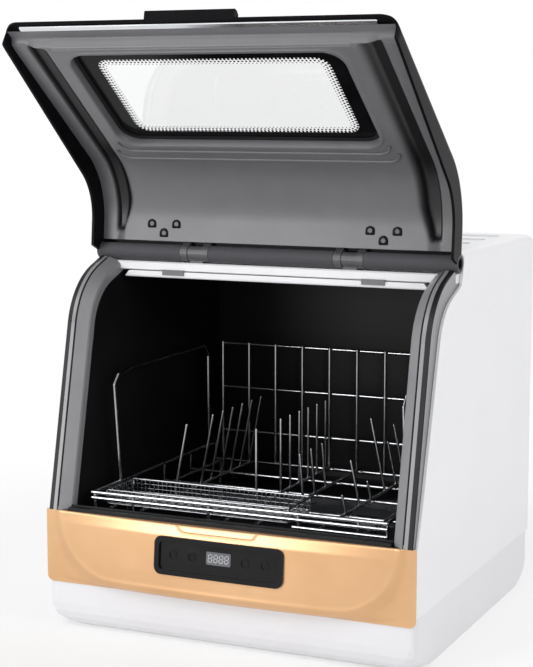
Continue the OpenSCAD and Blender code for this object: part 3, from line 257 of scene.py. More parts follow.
def buildDrawnMetal():  # lines left by drawing wire or brushing sheet along one axis
    tree, given, out = newGroup(
        "drawnMetal",
        [("Line Scale", "NodeSocketFloat", 700.0), ("Along", "NodeSocketVector", (0.03, 1.0, 1.0))],
        [("Height", "NodeSocketFloat"), ("Tone", "NodeSocketFloat")],
    )
    coords = tree.nodes.new("ShaderNodeTexCoord").outputs["Object"]
    stretch = tree.nodes.new("ShaderNodeVectorMath")
    stretch.operation = "MULTIPLY"
    tree.links.new(coords, stretch.inputs[0])
    tree.links.new(given.outputs["Along"], stretch.inputs[1])
    lines = noiseNode(tree, stretch.outputs[0], given.outputs["Line Scale"], 3.0, 0.6)
    slow = noiseNode(tree, coords, 22.0, 3.0, 0.6)
    tree.links.new(lines, out.inputs["Height"])
    tone = weighted(tree, lines, 0.55, slow, 0.45)
    tree.links.new(rangeNode(tree, tone, 0.35, 0.65), out.inputs["Tone"])
    return tree


def buildMetalFlake():  # tiny bright flakes in the gold lacquer
    tree, given, out = newGroup(
        "metalFlake",
        [("Flake Scale", "NodeSocketFloat", 2600.0)],
        [("Flakes", "NodeSocketFloat"), ("Clouds", "NodeSocketFloat")],
    )
    coords = tree.nodes.new("ShaderNodeTexCoord").outputs["Object"]
    cells = tree.nodes.new("ShaderNodeTexVoronoi")
    tree.links.new(coords, cells.inputs["Vector"])
    tree.links.new(given.outputs["Flake Scale"], cells.inputs["Scale"])
    tree.links.new(rangeNode(tree, cells.outputs["Distance"], 0.0, 0.9), out.inputs["Flakes"])
    tree.links.new(rangeNode(tree, noiseNode(tree, coords, 11.0, 3.0), 0.3, 0.7), out.inputs["Clouds"])
    return tree


mouldedGrain = buildMouldedGrain()
handMarks = buildHandMarks()
drawnMetal = buildDrawnMetal()
metalFlake = buildMetalFlake()


def useGroup(tree, group, **values):
    node = tree.nodes.new("ShaderNodeGroup")
    node.node_tree = group
    for label, value in values.items():
        node.inputs[label.replace("_", " ")].default_value = value
    return node


def startMaterial(name):
    material = bpy.data.materials.new(name)
    material.use_nodes = True
    return material, material.node_tree, material.node_tree.nodes["Principled BSDF"]


def blendColours(tree, amount, first, second):
    mix = tree.nodes.new("ShaderNodeMix")
    mix.data_type = "RGBA"
    tree.links.new(amount, mix.inputs["Factor"])
    for socket, colour in ((mix.inputs[6], first), (mix.inputs[7], second)):
        if isinstance(colour, tuple):
            socket.default_value = (*colour, 1)
        else:
            tree.links.new(colour, socket)
    return mix.outputs[2]


def addBump(tree, shader, height, strength, distance):
    bump = tree.nodes.new("ShaderNodeBump")
    bump.inputs["Strength"].default_value = strength
    bump.inputs["Distance"].default_value = distance
    tree.links.new(height, bump.inputs["Height"])
    tree.links.new(bump.outputs[0], shader.inputs["Normal"])


# moulded plastics: [darker, lighter, least roughness, most roughness, grain size, bump, clear coat, wear, shine]
plastics = {
    "whiteCasing": [(0.84, 0.84, 0.862), (0.86, 0.86, 0.88), 0.3, 0.34, 700, 0.006, 0.1, 0.03, 0.5],
    "whiteBase": [(0.765, 0.765, 0.79), (0.79, 0.79, 0.815), 0.3, 0.35, 700, 0.008, 0.1, 0.03, 0.5],
    "whiteTrim": [(0.78, 0.78, 0.80), (0.84, 0.84, 0.86), 0.3, 0.42, 900, 0.04, 0.0, 0.1, 0.5],
    "rearSheet": [(0.55, 0.55, 0.57), (0.6, 0.6, 0.62), 0.38, 0.5, 1200, 0.12, 0.0, 0.2, 0.5],
    "lidBlack": [(0.004, 0.004, 0.005), (0.008, 0.008, 0.009), 0.24, 0.32, 800, 0.03, 0.0, 0.2, 0.03],
    "linerGrey": [(0.122, 0.12, 0.13), (0.15, 0.148, 0.159), 0.34, 0.42, 1100, 0.05, 0.0, 0.1, 0.5],
    "frameGrey": [(0.22, 0.22, 0.232), (0.265, 0.265, 0.278), 0.26, 0.36, 1000, 0.06, 0.0, 0.2, 0.5],
    "tubBlack": [(0.0045, 0.0045, 0.005), (0.008, 0.008, 0.009), 0.34, 0.46, 900, 0.06, 0.0, 0.2, 0.16],
    "bezelBlack": [(0.005, 0.005, 0.006), (0.009, 0.009, 0.01), 0.2, 0.3, 1500, 0.05, 0.0, 0.3, 0.2],
    "trimBlack": [(0.006, 0.006, 0.007), (0.012, 0.012, 0.013), 0.34, 0.48, 1500, 0.1, 0.0, 0.3, 0.22],
    "clipGrey": [(0.13, 0.13, 0.135), (0.17, 0.17, 0.175), 0.35, 0.48, 1500, 0.1, 0.0, 0.3, 0.4],
    "knuckleGrey": [(0.07, 0.069, 0.075), (0.095, 0.094, 0.1), 0.3, 0.4, 1500, 0.06, 0.0, 0.3, 0.45],
    "washGrey": [(0.03, 0.031, 0.035), (0.05, 0.051, 0.055), 0.34, 0.48, 1200, 0.1, 0.0, 0.3, 0.35],
    "filterGrey": [(0.12, 0.125, 0.14), (0.17, 0.175, 0.19), 0.36, 0.5, 1200, 0.1, 0.0, 0.3, 0.5],
    "keyRing": [(0.16, 0.16, 0.168), (0.22, 0.22, 0.228), 0.3, 0.4, 2000, 0.05, 0.0, 0.2, 0.3],
    "rubber": [(0.008, 0.008, 0.009), (0.018, 0.018, 0.019), 0.62, 0.8, 1800, 0.2, 0.0, 0.3, 0.25],
}


lidTones = {
    # painted shade: the near-black that the liner's side hollows are darkened towards
    "hollow": (0.004, 0.004, 0.005),
    "roll": (0.085, 0.084, 0.092), "rollY": -0.074, "rollZ": 0.40004, "rollReach": 0.0092,
}


def plasticLook(name):
    dark, light, least, most, grain, bump, coat, wear, shine = plastics[name]
    material, tree, shader = startMaterial(name)
    skin = useGroup(tree, mouldedGrain, Grain_Scale=float(grain), Tone_Scale=9.0)
    marks = useGroup(tree, handMarks, Smear_Scale=14.0, Scratch_Scale=260.0)
    worn = mathNode(tree, "ADD", skin.outputs["Tone"], mathNode(tree, "MULTIPLY", marks.outputs["Scratches"], wear))
    paint = blendColours(tree, worn, dark, light)
    if name == "linerGrey":  # painted shade: the sculpted liner is darkened towards near-black deep in its side hollows
        shade = tree.nodes.new("ShaderNodeAttribute")
        shade.attribute_name = "hollow"
        paint = blendColours(tree, shade.outputs["Fac"], paint, lidTones["hollow"])
    if name == "lidBlack":  # the roll round the hinge is grey like the liner
        paint = blendColours(tree, rollMask(tree), paint, lidTones["roll"])
    tree.links.new(paint, shader.inputs["Base Color"])
    dull = weighted(tree, skin.outputs["Polish"], 0.5, marks.outputs["Smears"], 0.5)
    tree.links.new(rangeNode(tree, dull, 0.0, 1.0, least, most), shader.inputs["Roughness"])
    shader.inputs["Specular IOR Level"].default_value = shine
    shader.inputs["Coat Weight"].default_value = coat
    shader.inputs["Coat Roughness"].default_value = 0.12
    addBump(tree, shader, skin.outputs["Height"], bump, 0.0004)
    return material


def rollMask(tree):  # one inside the roll of the lid, in the object's own coordinates
    coords = tree.nodes.new("ShaderNodeTexCoord").outputs["Object"]
    parts = tree.nodes.new("ShaderNodeSeparateXYZ")
    tree.links.new(coords, parts.inputs[0])
    acrossY = mathNode(tree, "SUBTRACT", parts.outputs["Y"], lidTones["rollY"])
    acrossZ = mathNode(tree, "SUBTRACT", parts.outputs["Z"], lidTones["rollZ"])
    away = weighted(tree, acrossY, acrossY, acrossZ, acrossZ)
    return mathNode(tree, "LESS_THAN", away, lidTones["rollReach"] ** 2)


# metals: [darker, lighter, least roughness, most roughness, line size, stretch, bump]
metals = {
    "chromeWire": [(0.34, 0.345, 0.36), (0.52, 0.525, 0.54), 0.16, 0.28, 500, (1.0, 1.0, 1.0), 0.05],
    "basketWire": [(0.26, 0.265, 0.275), (0.42, 0.425, 0.44), 0.22, 0.36, 500, (1.0, 1.0, 1.0), 0.05],
    "hingeSteel": [(0.30, 0.30, 0.31), (0.42, 0.42, 0.43), 0.26, 0.4, 900, (0.03, 1.0, 1.0), 0.1],
    "screwSteel": [(0.045, 0.045, 0.047), (0.09, 0.09, 0.094), 0.34, 0.46, 1500, (1.0, 1.0, 1.0), 0.1],
    "lipChrome": [(0.66, 0.67, 0.69), (0.82, 0.83, 0.85), 0.12, 0.22, 700, (0.02, 1.0, 1.0), 0.06],
    "heaterSteel": [(0.38, 0.37, 0.36), (0.52, 0.5, 0.48), 0.3, 0.45, 600, (1.0, 1.0, 1.0), 0.1],
    "filterSteel": [(0.46, 0.47, 0.48), (0.6, 0.61, 0.62), 0.24, 0.38, 1400, (1.0, 0.05, 1.0), 0.12],
}


def metalLook(name):
    dark, light, least, most, lines, along, bump = metals[name]
    material, tree, shader = startMaterial(name)
    drawn = useGroup(tree, drawnMetal, Line_Scale=float(lines), Along=along)
    marks = useGroup(tree, handMarks, Smear_Scale=24.0, Scratch_Scale=400.0)
    tree.links.new(blendColours(tree, drawn.outputs["Tone"], dark, light), shader.inputs["Base Color"])
    dull = weighted(tree, drawn.outputs["Tone"], 0.5, marks.outputs["Smears"], 0.5)
    tree.links.new(rangeNode(tree, dull, 0.0, 1.0, least, most), shader.inputs["Roughness"])
    shader.inputs["Metallic"].default_value = 1.0
    addBump(tree, shader, drawn.outputs["Height"], bump, 0.0002)
    return material


goldLacquer = {
    "deep": (0.66, 0.375, 0.185), "light": (0.77, 0.48, 0.265), "flakeTone": 0.3, "cloudTone": 0.65,
    "least": 0.3, "most": 0.36,  # roughness
    "metal": 0.55, "shine": 0.25, "coat": 0.04, "coatRough": 0.2,
}


def goldLook():
    material, tree, shader = startMaterial("goldLacquer")
    g = goldLacquer
    flakes = useGroup(tree, metalFlake, Flake_Scale=2600.0)
    marks = useGroup(tree, handMarks, Smear_Scale=16.0, Scratch_Scale=260.0)
    tone = weighted(tree, flakes.outputs["Flakes"], g["flakeTone"], flakes.outputs["Clouds"], g["cloudTone"])
    tree.links.new(blendColours(tree, tone, g["deep"], g["light"]), shader.inputs["Base Color"])
    dull = weighted(tree, flakes.outputs["Clouds"], 0.4, marks.outputs["Smears"], 0.6)
    tree.links.new(rangeNode(tree, dull, 0.0, 1.0, g["least"], g["most"]), shader.inputs["Roughness"])
    shader.inputs["Metallic"].default_value = g["metal"]
    shader.inputs["Specular IOR Level"].default_value = g["shine"]
    shader.inputs["Coat Weight"].default_value = g["coat"]
    shader.inputs["Coat Roughness"].default_value = g["coatRough"]
    addBump(tree, shader, flakes.outputs["Flakes"], 0.03, 0.0002)
    return material


windowGlass = {
    "tint": (0.965, 0.968, 0.972), "edge": (0.95, 0.955, 0.96),
    "least": 0.01, "most": 0.05,  # roughness
    "index": 1.46,
}


def glassLook():
    material, tree, shader = startMaterial("windowGlass")
    marks = useGroup(tree, handMarks, Smear_Scale=12.0, Scratch_Scale=220.0)
    g, smears = windowGlass, marks.outputs["Smears"]
    tree.links.new(blendColours(tree, smears, g["tint"], g["edge"]), shader.inputs["Base Color"])
    tree.links.new(rangeNode(tree, smears, 0.0, 1.0, g["least"], g["most"]), shader.inputs["Roughness"])
    shader.inputs["Transmission Weight"].default_value = 1.0
    shader.inputs["IOR"].default_value = g["index"]
    addBump(tree, shader, smears, 0.01, 0.0002)
    return material


# gloss panels and inks: [darker, lighter, least roughness, shine]
glossPanels = {
    "smokedFascia": [(0.006, 0.006, 0.007), (0.01, 0.01, 0.011), 0.12, 0.22],
    "displayPane": [(0.13, 0.135, 0.145), (0.17, 0.175, 0.185), 0.2, 0.3],
    # black frit print, also used as painted shade round the liner's screws
    "fritInkAndPaintedShade": [(0.003, 0.003, 0.0035), (0.006, 0.006, 0.007), 0.14, 0.12],
    "digitInk": [(0.5, 0.51, 0.53), (0.6, 0.61, 0.63), 0.3, 0.3],
}


def glossLook(name):
    dark, light, least, shine = glossPanels[name]
    material, tree, shader = startMaterial(name)
    marks = useGroup(tree, handMarks, Smear_Scale=30.0, Scratch_Scale=500.0)
    skin = useGroup(tree, mouldedGrain, Grain_Scale=2200.0, Tone_Scale=30.0)
    tree.links.new(blendColours(tree, skin.outputs["Tone"], dark, light), shader.inputs["Base Color"])
    tree.links.new(rangeNode(tree, marks.outputs["Smears"], 0.0, 1.0, least, least + 0.1), shader.inputs["Roughness"])
    shader.inputs["Specular IOR Level"].default_value = shine
    addBump(tree, shader, skin.outputs["Height"], 0.015, 0.0002)
    return material


boardTones = {"first": (0.02, 0.12, 0.05), "second": (0.03, 0.17, 0.07), "track": (0.28, 0.24, 0.1), "scale": 130.0}


def boardLook():  # green circuit board with paler tracks
    material, tree, shader = startMaterial("circuitBoard")
    coords = tree.nodes.new("ShaderNodeTexCoord").outputs["Object"]
    bricks = tree.nodes.new("ShaderNodeTexBrick")
    tree.links.new(coords, bricks.inputs["Vector"])
    bricks.inputs["Scale"].default_value = boardTones["scale"]
    for label, tone in (("Color1", "first"), ("Color2", "second"), ("Mortar", "track")):
        bricks.inputs[label].default_value = (*boardTones[tone], 1)
    skin = useGroup(tree, mouldedGrain, Grain_Scale=1500.0, Tone_Scale=60.0)
    tree.links.new(bricks.outputs["Color"], shader.inputs["Base Color"])
    tree.links.new(rangeNode(tree, skin.outputs["Polish"], 0.0, 1.0, 0.3, 0.5), shader.inputs["Roughness"])
    addBump(tree, shader, bricks.outputs["Fac"], 0.2, 0.0003)
    return material


looks = {name: plasticLook(name) for name in plastics}
looks.update({name: metalLook(name) for name in metals})
looks["goldLacquer"] = goldLook()
looks["windowGlass"] = glassLook()
looks.update({name: glossLook(name) for name in glossPanels})
looks["circuitBoard"] = boardLook()
print("materials built:", len(looks))


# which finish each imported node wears

finishes = {
    "whiteCasing": ["outer_casing"],
    "whiteBase": ["base_tray"],
    "whiteTrim": ["frame_header", "light_bar", "inlet_valve", "float_switch", "water_inlet"],
    "rearSheet": ["rear_panel"],
    "goldLacquer": ["front_panel"],
    "bezelBlack": ["control_bezel", "touch_keys"],
    "smokedFascia": ["control_glass"],
    "displayPane": ["display_window"],
    "circuitBoard": ["display_board", "control_board"],
    "tubBlack": ["tub", "tub_sides"],
    "frameGrey": ["frame_side_left", "frame_side_right"],
    "trimBlack": ["frame_trim", "frame_sill", "reed_switch", "lid_magnet", "lid_end_caps"],
    "rubber": ["feet", "door_seal", "window_gasket"],
    "clipGrey": ["light_clips"],
    "knuckleGrey": ["hinge_brackets", "hinge_leaves"],
    "hingeSteel": ["hinge_pins"],
    "screwSteel": ["lid_screws", "panel_screws"],
    "lidBlack": ["lid_shell", "lid_handle"],
    "linerGrey": ["lid_liner"],
    "windowGlass": ["window_glass"],
    "fritInkAndPaintedShade": ["window_border"],
    "lipChrome": ["lip_trim"],
    "chromeWire": ["rack_base", "rack_back", "rack_left", "rack_right", "rack_front", "tine_row_left",
                   "tine_row_middle", "tine_row_short", "tine_row_right"],
    "basketWire": ["cutlery_basket"],
    "washGrey": ["spray_arm", "spray_hub", "sump", "wash_pump", "drain_pump", "drying_fan", "drain_spigot",
                 "power_gland"],
    "filterGrey": ["filter_cup"],
    "filterSteel": ["filter_plate"],
    "heaterSteel": ["heater"],
}

for look, members in finishes.items():
    for member in members:
        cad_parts[member].data.materials.clear()
        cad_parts[member].data.materials.append(looks[look])
print("finishes set on", sum(len(members) for members in finishes.values()), "nodes")


# mesh helpers

def addPiece(name, build, look, body, smooth=True):
    mesh = bpy.data.meshes.new(name)
    shape = bmesh.new()
    build(shape)
    bmesh.ops.recalc_face_normals(shape, faces=shape.faces)
    shape.to_mesh(mesh)
    shape.free()
    for face in mesh.polygons:
        face.use_smooth = smooth
    piece = bpy.data.objects.new(name, mesh)
    bpy.context.collection.objects.link(piece)
    mesh.materials.append(looks[look])
    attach(piece, body)
    return piece


def smoothStep(low, high, value):
    share = min(1.0, max(0.0, (value - low) / (high - low)))
    return share * share * (3 - 2 * share)


def between(points, value):  # straight lines through (where, what) points
    for (x0, y0), (x1, y1) in zip(points, points[1:]):
        if value <= x1 or (x1, y1) == points[-1]:
            return y0 + (y1 - y0) * min(1.0, max(0.0, (value - x0) / (x1 - x0)))


def stations(stops):  # ordered values from (from, to, step) stretches
    values = []
    for start, end, step in stops:
        count = max(1, round((end - start) / step))
        values += [start + (end - start) * i / count for i in range(count)]
    return values + [stops[-1][1]]


def addSheet(shape, columns, rows, point, keep=None):  # grid of quads; returns its vertices
    grid = [[shape.verts.new(point(x, z)) for z in rows] for x in columns]
    for i in range(len(columns) - 1):
        for j in range(len(rows) - 1):
            if keep is None or keep((columns[i] + columns[i + 1]) / 2, (rows[j] + rows[j + 1]) / 2):
                shape.faces.new((grid[i][j], grid[i + 1][j], grid[i + 1][j + 1], grid[i][j + 1]))
    return grid


def joinRings(shape, first, second):
    for k in range(len(first)):
        after = (k + 1) % len(first)
        shape.faces.new((first[k], first[after], second[after], second[k]))


def addTube(shape, path, radius, sides=8, closed=False):
    points = [Vector(p) for p in path]
    count = len(points)
    rings = []
    for i, point in enumerate(points):
        before = points[i - 1] if closed or i > 0 else point
        after = points[(i + 1) % count] if closed or i < count - 1 else point
        ahead = (after - before).normalized()
        side = ahead.cross(Vector((0, 0, 1)))
        if side.length < 0.2:
            side = ahead.cross(Vector((0, 1, 0)))
        side.normalize()
        over = side.cross(ahead)
        rings.append([shape.verts.new(point + radius * (math.cos(a) * side + math.sin(a) * over))
                      for a in (2 * math.pi * k / sides for k in range(sides))])
    for i in range(count if closed else count - 1):
        joinRings(shape, rings[i], rings[(i + 1) % count])
    if not closed:
        shape.faces.new(rings[0])
        shape.faces.new(rings[-1])


def addPrism(shape, outline, lift):  # outline: 3-D points of a flat face; lift: its thickness as a vector
    base = [shape.verts.new(p) for p in outline]
    top = [shape.verts.new(Vector(p) + Vector(lift)) for p in outline]
    shape.faces.new(base)
    shape.faces.new(top)
    joinRings(shape, base, top)


def roundedPath(x0, y0, x1, y1, radius, steps=8):  # counter-clockwise rounded rectangle
    path = []
    for cx, cy, start in ((x1 - radius, y1 - radius, 0), (x0 + radius, y1 - radius, 90),
                          (x0 + radius, y0 + radius, 180), (x1 - radius, y0 + radius, 270)):
        for k in range(steps + 1):
            a = math.radians(start + 90 * k / steps)
            path.append((cx + radius * math.cos(a), cy + radius * math.sin(a)))
    return path


# the lid's front, as it stands open: x across, s from the bend to the lip, d inward from the skin

lidFront = {
    "kneeY": -97.972, "kneeZ": 513.196,  # where the bend ends and the front starts
    "alongY": -0.79335, "alongZ": 0.60876, "inY": -0.60876, "inZ": -0.79335,
}


def lidPoint(x, s, d):
    f = lidFront
    return Vector((x, f["kneeY"] + s * f["alongY"] + d * f["inY"], f["kneeZ"] + s * f["alongZ"] + d * f["inZ"])) * mm


frit = {"halfWidth": 126, "near": 41, "far": 159, "corner": 14, "depth": 6.05, "thick": 0.06, "pitch": 4.2,
        "rows": [(1.4, 1.5), (4.8, 1.2), (7.8, 0.7)]}  # distance from the border, dot radius


def fritDots(shape):
    for row, (inset, dotRadius) in enumerate(frit["rows"]):
        loop = roundedPath(-frit["halfWidth"] + inset, frit["near"] + inset, frit["halfWidth"] - inset,
                           frit["far"] - inset, frit["corner"] - inset, 10)
        lengths = [math.dist(loop[i], loop[(i + 1) % len(loop)]) for i in range(len(loop))]
        total = sum(lengths)
        count = round(total / frit["pitch"])
        target, walked, i = (row % 2) * 0.5 * total / count, 0.0, 0
        for _ in range(count):
            while walked + lengths[i] < target and i < len(loop) - 1:
                walked += lengths[i]
                i += 1
            share = (target - walked) / lengths[i]
            ax, ay = loop[i]
            bx, by = loop[(i + 1) % len(loop)]
            cx, cy = ax + (bx - ax) * share, ay + (by - ay) * share
            outline = [lidPoint(cx + dotRadius * math.cos(a), cy + dotRadius * math.sin(a), frit["depth"])
                       for a in (math.pi * k / 4 for k in range(8))]
            addPrism(shape, outline, lidPoint(0, 0, frit["thick"]) - lidPoint(0, 0, 0))
            target += total / count


addPiece("window_frit", fritDots, "fritInkAndPaintedShade", "lid", smooth=False)


# inner panel of the lid: soft hollows along both sides, a frame round the glass and two ridges under it

linerForm = {
    "bendY": -153.978, "bendZ": 440.208, "radius": 92.0, "startAngle": 52.5, "bendLength": 91.85,
    "lipEnd": 203.0,  # along the skin; 0 where the front starts
    "plate": 15.0, "flange": 10.3, "hollow": 4.6, "edge": 206.2,  # depths under the skin, half width
    "hollowX": 183.0, "innerSlope": 19.0, "outerSlope": 7.5, "innerFloor": 0.3, "outerFloor": 0.45,
    "narrowing": (-110, -60), "narrowest": 0.25,  # of the inner slope, towards the hinge
    "hollowStart": (-106, -97), "hollowEnd": (181, 188),
    # strength and fall-off of the painted shade in the side hollows
    "shadeGain": 1.5, "shadePower": 0.8,
    "rows": [(-113, -60, 3), (-60, 10, 3.5), (10, 180, 6), (180, 203, 1.6)],  # from, to, step
    "columns": [(160, 188, 1.4), (188, 192, 0.8), (192, 206.2, 2.4)], "turnedTo": 3.2,
    "flangeX": (176, 189), "lipStep": (187, 193), "lipDepth": 4.8,
    "bead": 1.2, "beadRise": (184.5, 185.5), "beadFall": (186, 187),
    "middleHalf": 160, "middleNear": 13.0, "middleFar": 183.0, "middleStep": 32,  # flat field round the glass
    "glassHalf": 148.0, "glassNear": 29.0, "glassFar": 178.0, "corner": 21.0,
    "glassEdge": [(0, 6.6), (0, 16.1), (0.4, 16.45), (3.4, 16.45), (4.4, 15.2), (5.4, 15.0)],  # outward, depth
    "ridges": (11.0, 24.0), "ridgeRadius": 1.7, "ridgeSunk": 0.3,
}


def linerPoint(x, w, d):  # w: along the skin from the bend's end, negative towards the hinge
    f = linerForm
    if w >= 0:
        return lidPoint(x, w, d)
    a = math.radians(f["startAngle"]) + max(w, -f["bendLength"]) / f["radius"]
    reach, beyond = f["radius"] - d, max(0.0, -w - f["bendLength"])
    return Vector((x, f["bendY"] + reach * math.cos(a) + beyond * math.sin(a),
                   f["bendZ"] + reach * math.sin(a) - beyond * math.cos(a))) * mm


def hollowShare(x, w):
    f = linerForm
    room = smoothStep(*f["narrowing"], w) * (1 - f["narrowest"]) + f["narrowest"]
    ends = smoothStep(*f["hollowStart"], w) * (1 - smoothStep(*f["hollowEnd"], w))
    off = abs(x) - f["hollowX"]
    if off < 0:
        return (1 - smoothStep(f["innerFloor"], 1, -off / (f["innerSlope"] * room))) * ends
    return (1 - smoothStep(f["outerFloor"], 1, off / f["outerSlope"])) * ends


def linerDepth(x, w):
    f = linerForm
    plain = f["plate"] + (f["flange"] - f["plate"]) * smoothStep(*f["flangeX"], abs(x))
    plain += (f["lipDepth"] - plain) * smoothStep(*f["lipStep"], w)  # step down to the lip
    plain -= f["bead"] * smoothStep(*f["beadRise"], w) * (1 - smoothStep(*f["beadFall"], w))
    return plain + (f["hollow"] - plain) * hollowShare(x, w)


def sculptedLiner(shape):
    f = linerForm
    # painted shade: each vertex stores how far it is darkened, most deep in the side hollows
    shade = shape.verts.layers.float.new("hollow")
    rows = stations(f["rows"])
    half, near, far = f["middleHalf"], f["middleNear"], f["middleFar"]
    across = stations([(-half, half, f["middleStep"])])
    for side in (-1, 1):
        columns = [side * x for x in stations(f["columns"])]
        grid = addSheet(shape, columns, rows, lambda x, w: linerPoint(x, w, linerDepth(x, w)))
        for x, line in zip(columns, grid):
            for w, vertex in zip(rows, line):
                vertex[shade] = min(1.0, f["shadeGain"] * hollowShare(x, w) ** f["shadePower"])
        addSheet(shape, [0, 1], rows,  # turned edge
                 lambda k, w: linerPoint(side * f["edge"], w, (linerDepth(f["edge"], w), f["turnedTo"])[k]))
    addSheet(shape, across, [w for w in rows if w <= 10] + [near], lambda x, w: linerPoint(x, w, f["plate"]))
    addSheet(shape, across, stations([(far, f["lipEnd"], 0.8)]), lambda x, w: linerPoint(x, w, linerDepth(x, w)))
    rings = []
    for grow, depth in f["glassEdge"]:
        path = roundedPath(-f["glassHalf"] - grow, f["glassNear"] - grow, f["glassHalf"] + grow,
                           f["glassFar"] + grow, f["corner"] + grow, 10)
        if grow > far - f["glassFar"]:
            path = [(x, min(w, far)) for x, w in path]
        rings.append([shape.verts.new(lidPoint(x, w, depth)) for x, w in path])
    outer = roundedPath(-half, near, half, far, 0.5, 10)
    rings.append([shape.verts.new(lidPoint(x, w, f["plate"])) for x, w in outer])
    for first, second in zip(rings, rings[1:]):
        joinRings(shape, first, second)
    for grow in f["ridges"]:  # under the glass, turned up at its corners
        reach = f["glassHalf"] + 0.5 * grow
        path = roundedPath(-reach, f["glassNear"] - grow, reach, 90, 14, 10)
        lower = [lidPoint(x, w, f["plate"] + f["ridgeSunk"]) for x, w in path[len(path) // 2:]]
        addTube(shape, lower, f["ridgeRadius"] * mm, 10)


linerPiece = addPiece("sculpted_liner", sculptedLiner, "linerGrey", "lid")
linerPiece.data.set_sharp_from_angle(angle=math.radians(50))
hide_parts("lid_liner")


# painted shade round the liner's screws: near-black rings in place of the shaded wells, flat towards the hinge, round
# above, only the screw's middle in view

wells = {
    "columns": [(113, 31), (128, 21), (143, 31)],  # across, from the hinge
    "inner": 2.3, "outer": 5.4, "flat": 4.6, "corner": 6.6, "wall": 0.5, "sides": 28,
    "depth": 15.08, "rise": 15.75,  # the rise covers the rims of the screw heads with the painted shade
    "hingeToBend": 33.48,
}


def screwWellShade(shape):
    for side in (-1, 1):
        for x, t in wells["columns"]:
            w = -linerForm["bendLength"] - (wells["hingeToBend"] - t)
            rings = [[], [], []]
            for k in range(wells["sides"]):
                a = 2 * math.pi * k / wells["sides"]
                ux, uw = math.cos(a), math.sin(a)
                reach = wells["outer"]
                if uw < 0:  # squared below
                    reach = min(wells["flat"] / max(-uw, 1e-6), wells["outer"] / max(abs(ux), 1e-6), wells["corner"])
                reaches = (wells["inner"], reach - wells["wall"], reach)
                for ring, out, depth in zip(rings, reaches, (wells["rise"], wells["rise"], wells["depth"])):
                    ring.append(shape.verts.new(linerPoint(side * x + out * ux, w + out * uw, depth)))
            for first, second in zip(rings, rings[1:]):
                joinRings(shape, first, second)


# near-black rings as painted shade in the screw wells
addPiece("screw_well_shade", screwWellShade, "fritInkAndPaintedShade", "lid")


# bright strip along the lip

lipStrip = {"half": 190.0, "from": 202.6, "to": 208.6, "depth": 4.9, "thick": 1.0, "corner": 1.6,
            "bevel": 0.35, "narrow": 0.84, "shorten": 0.9985}  # of the front face against the back


def lipStripShape(shape):
    f = lipStrip
    path = roundedPath(-f["half"], f["from"], f["half"], f["to"], f["corner"], 6)
    base = [shape.verts.new(lidPoint(x, w, f["depth"] - f["thick"])) for x, w in path]
    start = f["from"] + f["bevel"]
    top = [shape.verts.new(lidPoint(x * f["shorten"], start + (w - f["from"]) * f["narrow"], f["depth"]))
           for x, w in path]
    shape.faces.new(base)
    shape.faces.new(top)
    joinRings(shape, base, top)


stripPiece = addPiece("lip_strip", lipStripShape, "lipChrome", "lid")
stripPiece.data.set_sharp_from_angle(angle=math.radians(40))
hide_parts("lip_trim")


# bowed and leaning face that the marks of the control panel stand on

panelFace = {"radius": 3678.0, "axisY": 3474.0, "top": 131.0, "low": 52.0, "lean": 7.0}


def panelPoint(x, z, out):
    f = panelFace
    reach = f["radius"] + f["lean"] * (f["top"] - z) / (f["top"] - f["low"]) + out
    return Vector((x, f["axisY"] - math.sqrt(reach * reach - x * x), z)) * mm


# gold panel: bowed, with a soft raised field, rounded edges and the engraved tab of the finger hold

goldForm = {
    "half": 210.0, "ends": -198.0, "least": -197.2, "low": 52.0, "top": 131.0, "back": -196.4,
    "bow": [(52, 12.2), (62, 13.4), (79, 12.4), (99, 10.6), (119, 8.8), (124, 7.4), (131, 5.6)],  # height, bow
    "field": [(0, 61.5), (124, 61.5), (140, 63), (155, 68.5), (168, 77), (178, 87.5), (185, 99), (190, 112),
              (193.5, 131)],
    "bevel": 13.0, "drop": 3.0, "ridge": 0.35, "topRound": 2.0, "lowRound": 8.0, "endRound": 2.0, "cornerCut": 7.0,
    "holeX": 70.0, "holeLow": 82.0, "holeHigh": 116.0,
    "tab": [(-50.5, 131.0), (-44, 124.6), (-40.5, 123.4), (34.5, 123.4), (38, 124.6), (42.5, 131.0)], "groove": 0.75,
    "grooveWide": 0.75, "ridgeWide": 2.6, "foremost": -214.0,
    "rows": [(52, 53, 0.25), (53, 61, 0.9), (61, 82, 1.5), (82, 116, 2.0), (116, 122, 1.5), (122, 129, 0.45),
             (129, 131, 0.25)],  # from, to, step
    "columns": [(-210, -206, 0.5), (-206, -130, 2.4), (-130, -70, 4.0), (-70, -52, 3.0), (-52, -38, 0.7),
                (-38, 30, 4.0), (30, 44, 0.7), (44, 70, 3.25), (70, 130, 4.0), (130, 206, 2.4), (206, 210, 0.5)],
}


def awayFrom(line, x, z):  # distance to a broken line
    least = 1e9
    for (ax, az), (bx, bz) in zip(line, line[1:]):
        dx, dz = bx - ax, bz - az
        share = min(1.0, max(0.0, ((x - ax) * dx + (z - az) * dz) / (dx * dx + dz * dz)))
        least = min(least, math.hypot(x - ax - share * dx, z - az - share * dz))
    return least


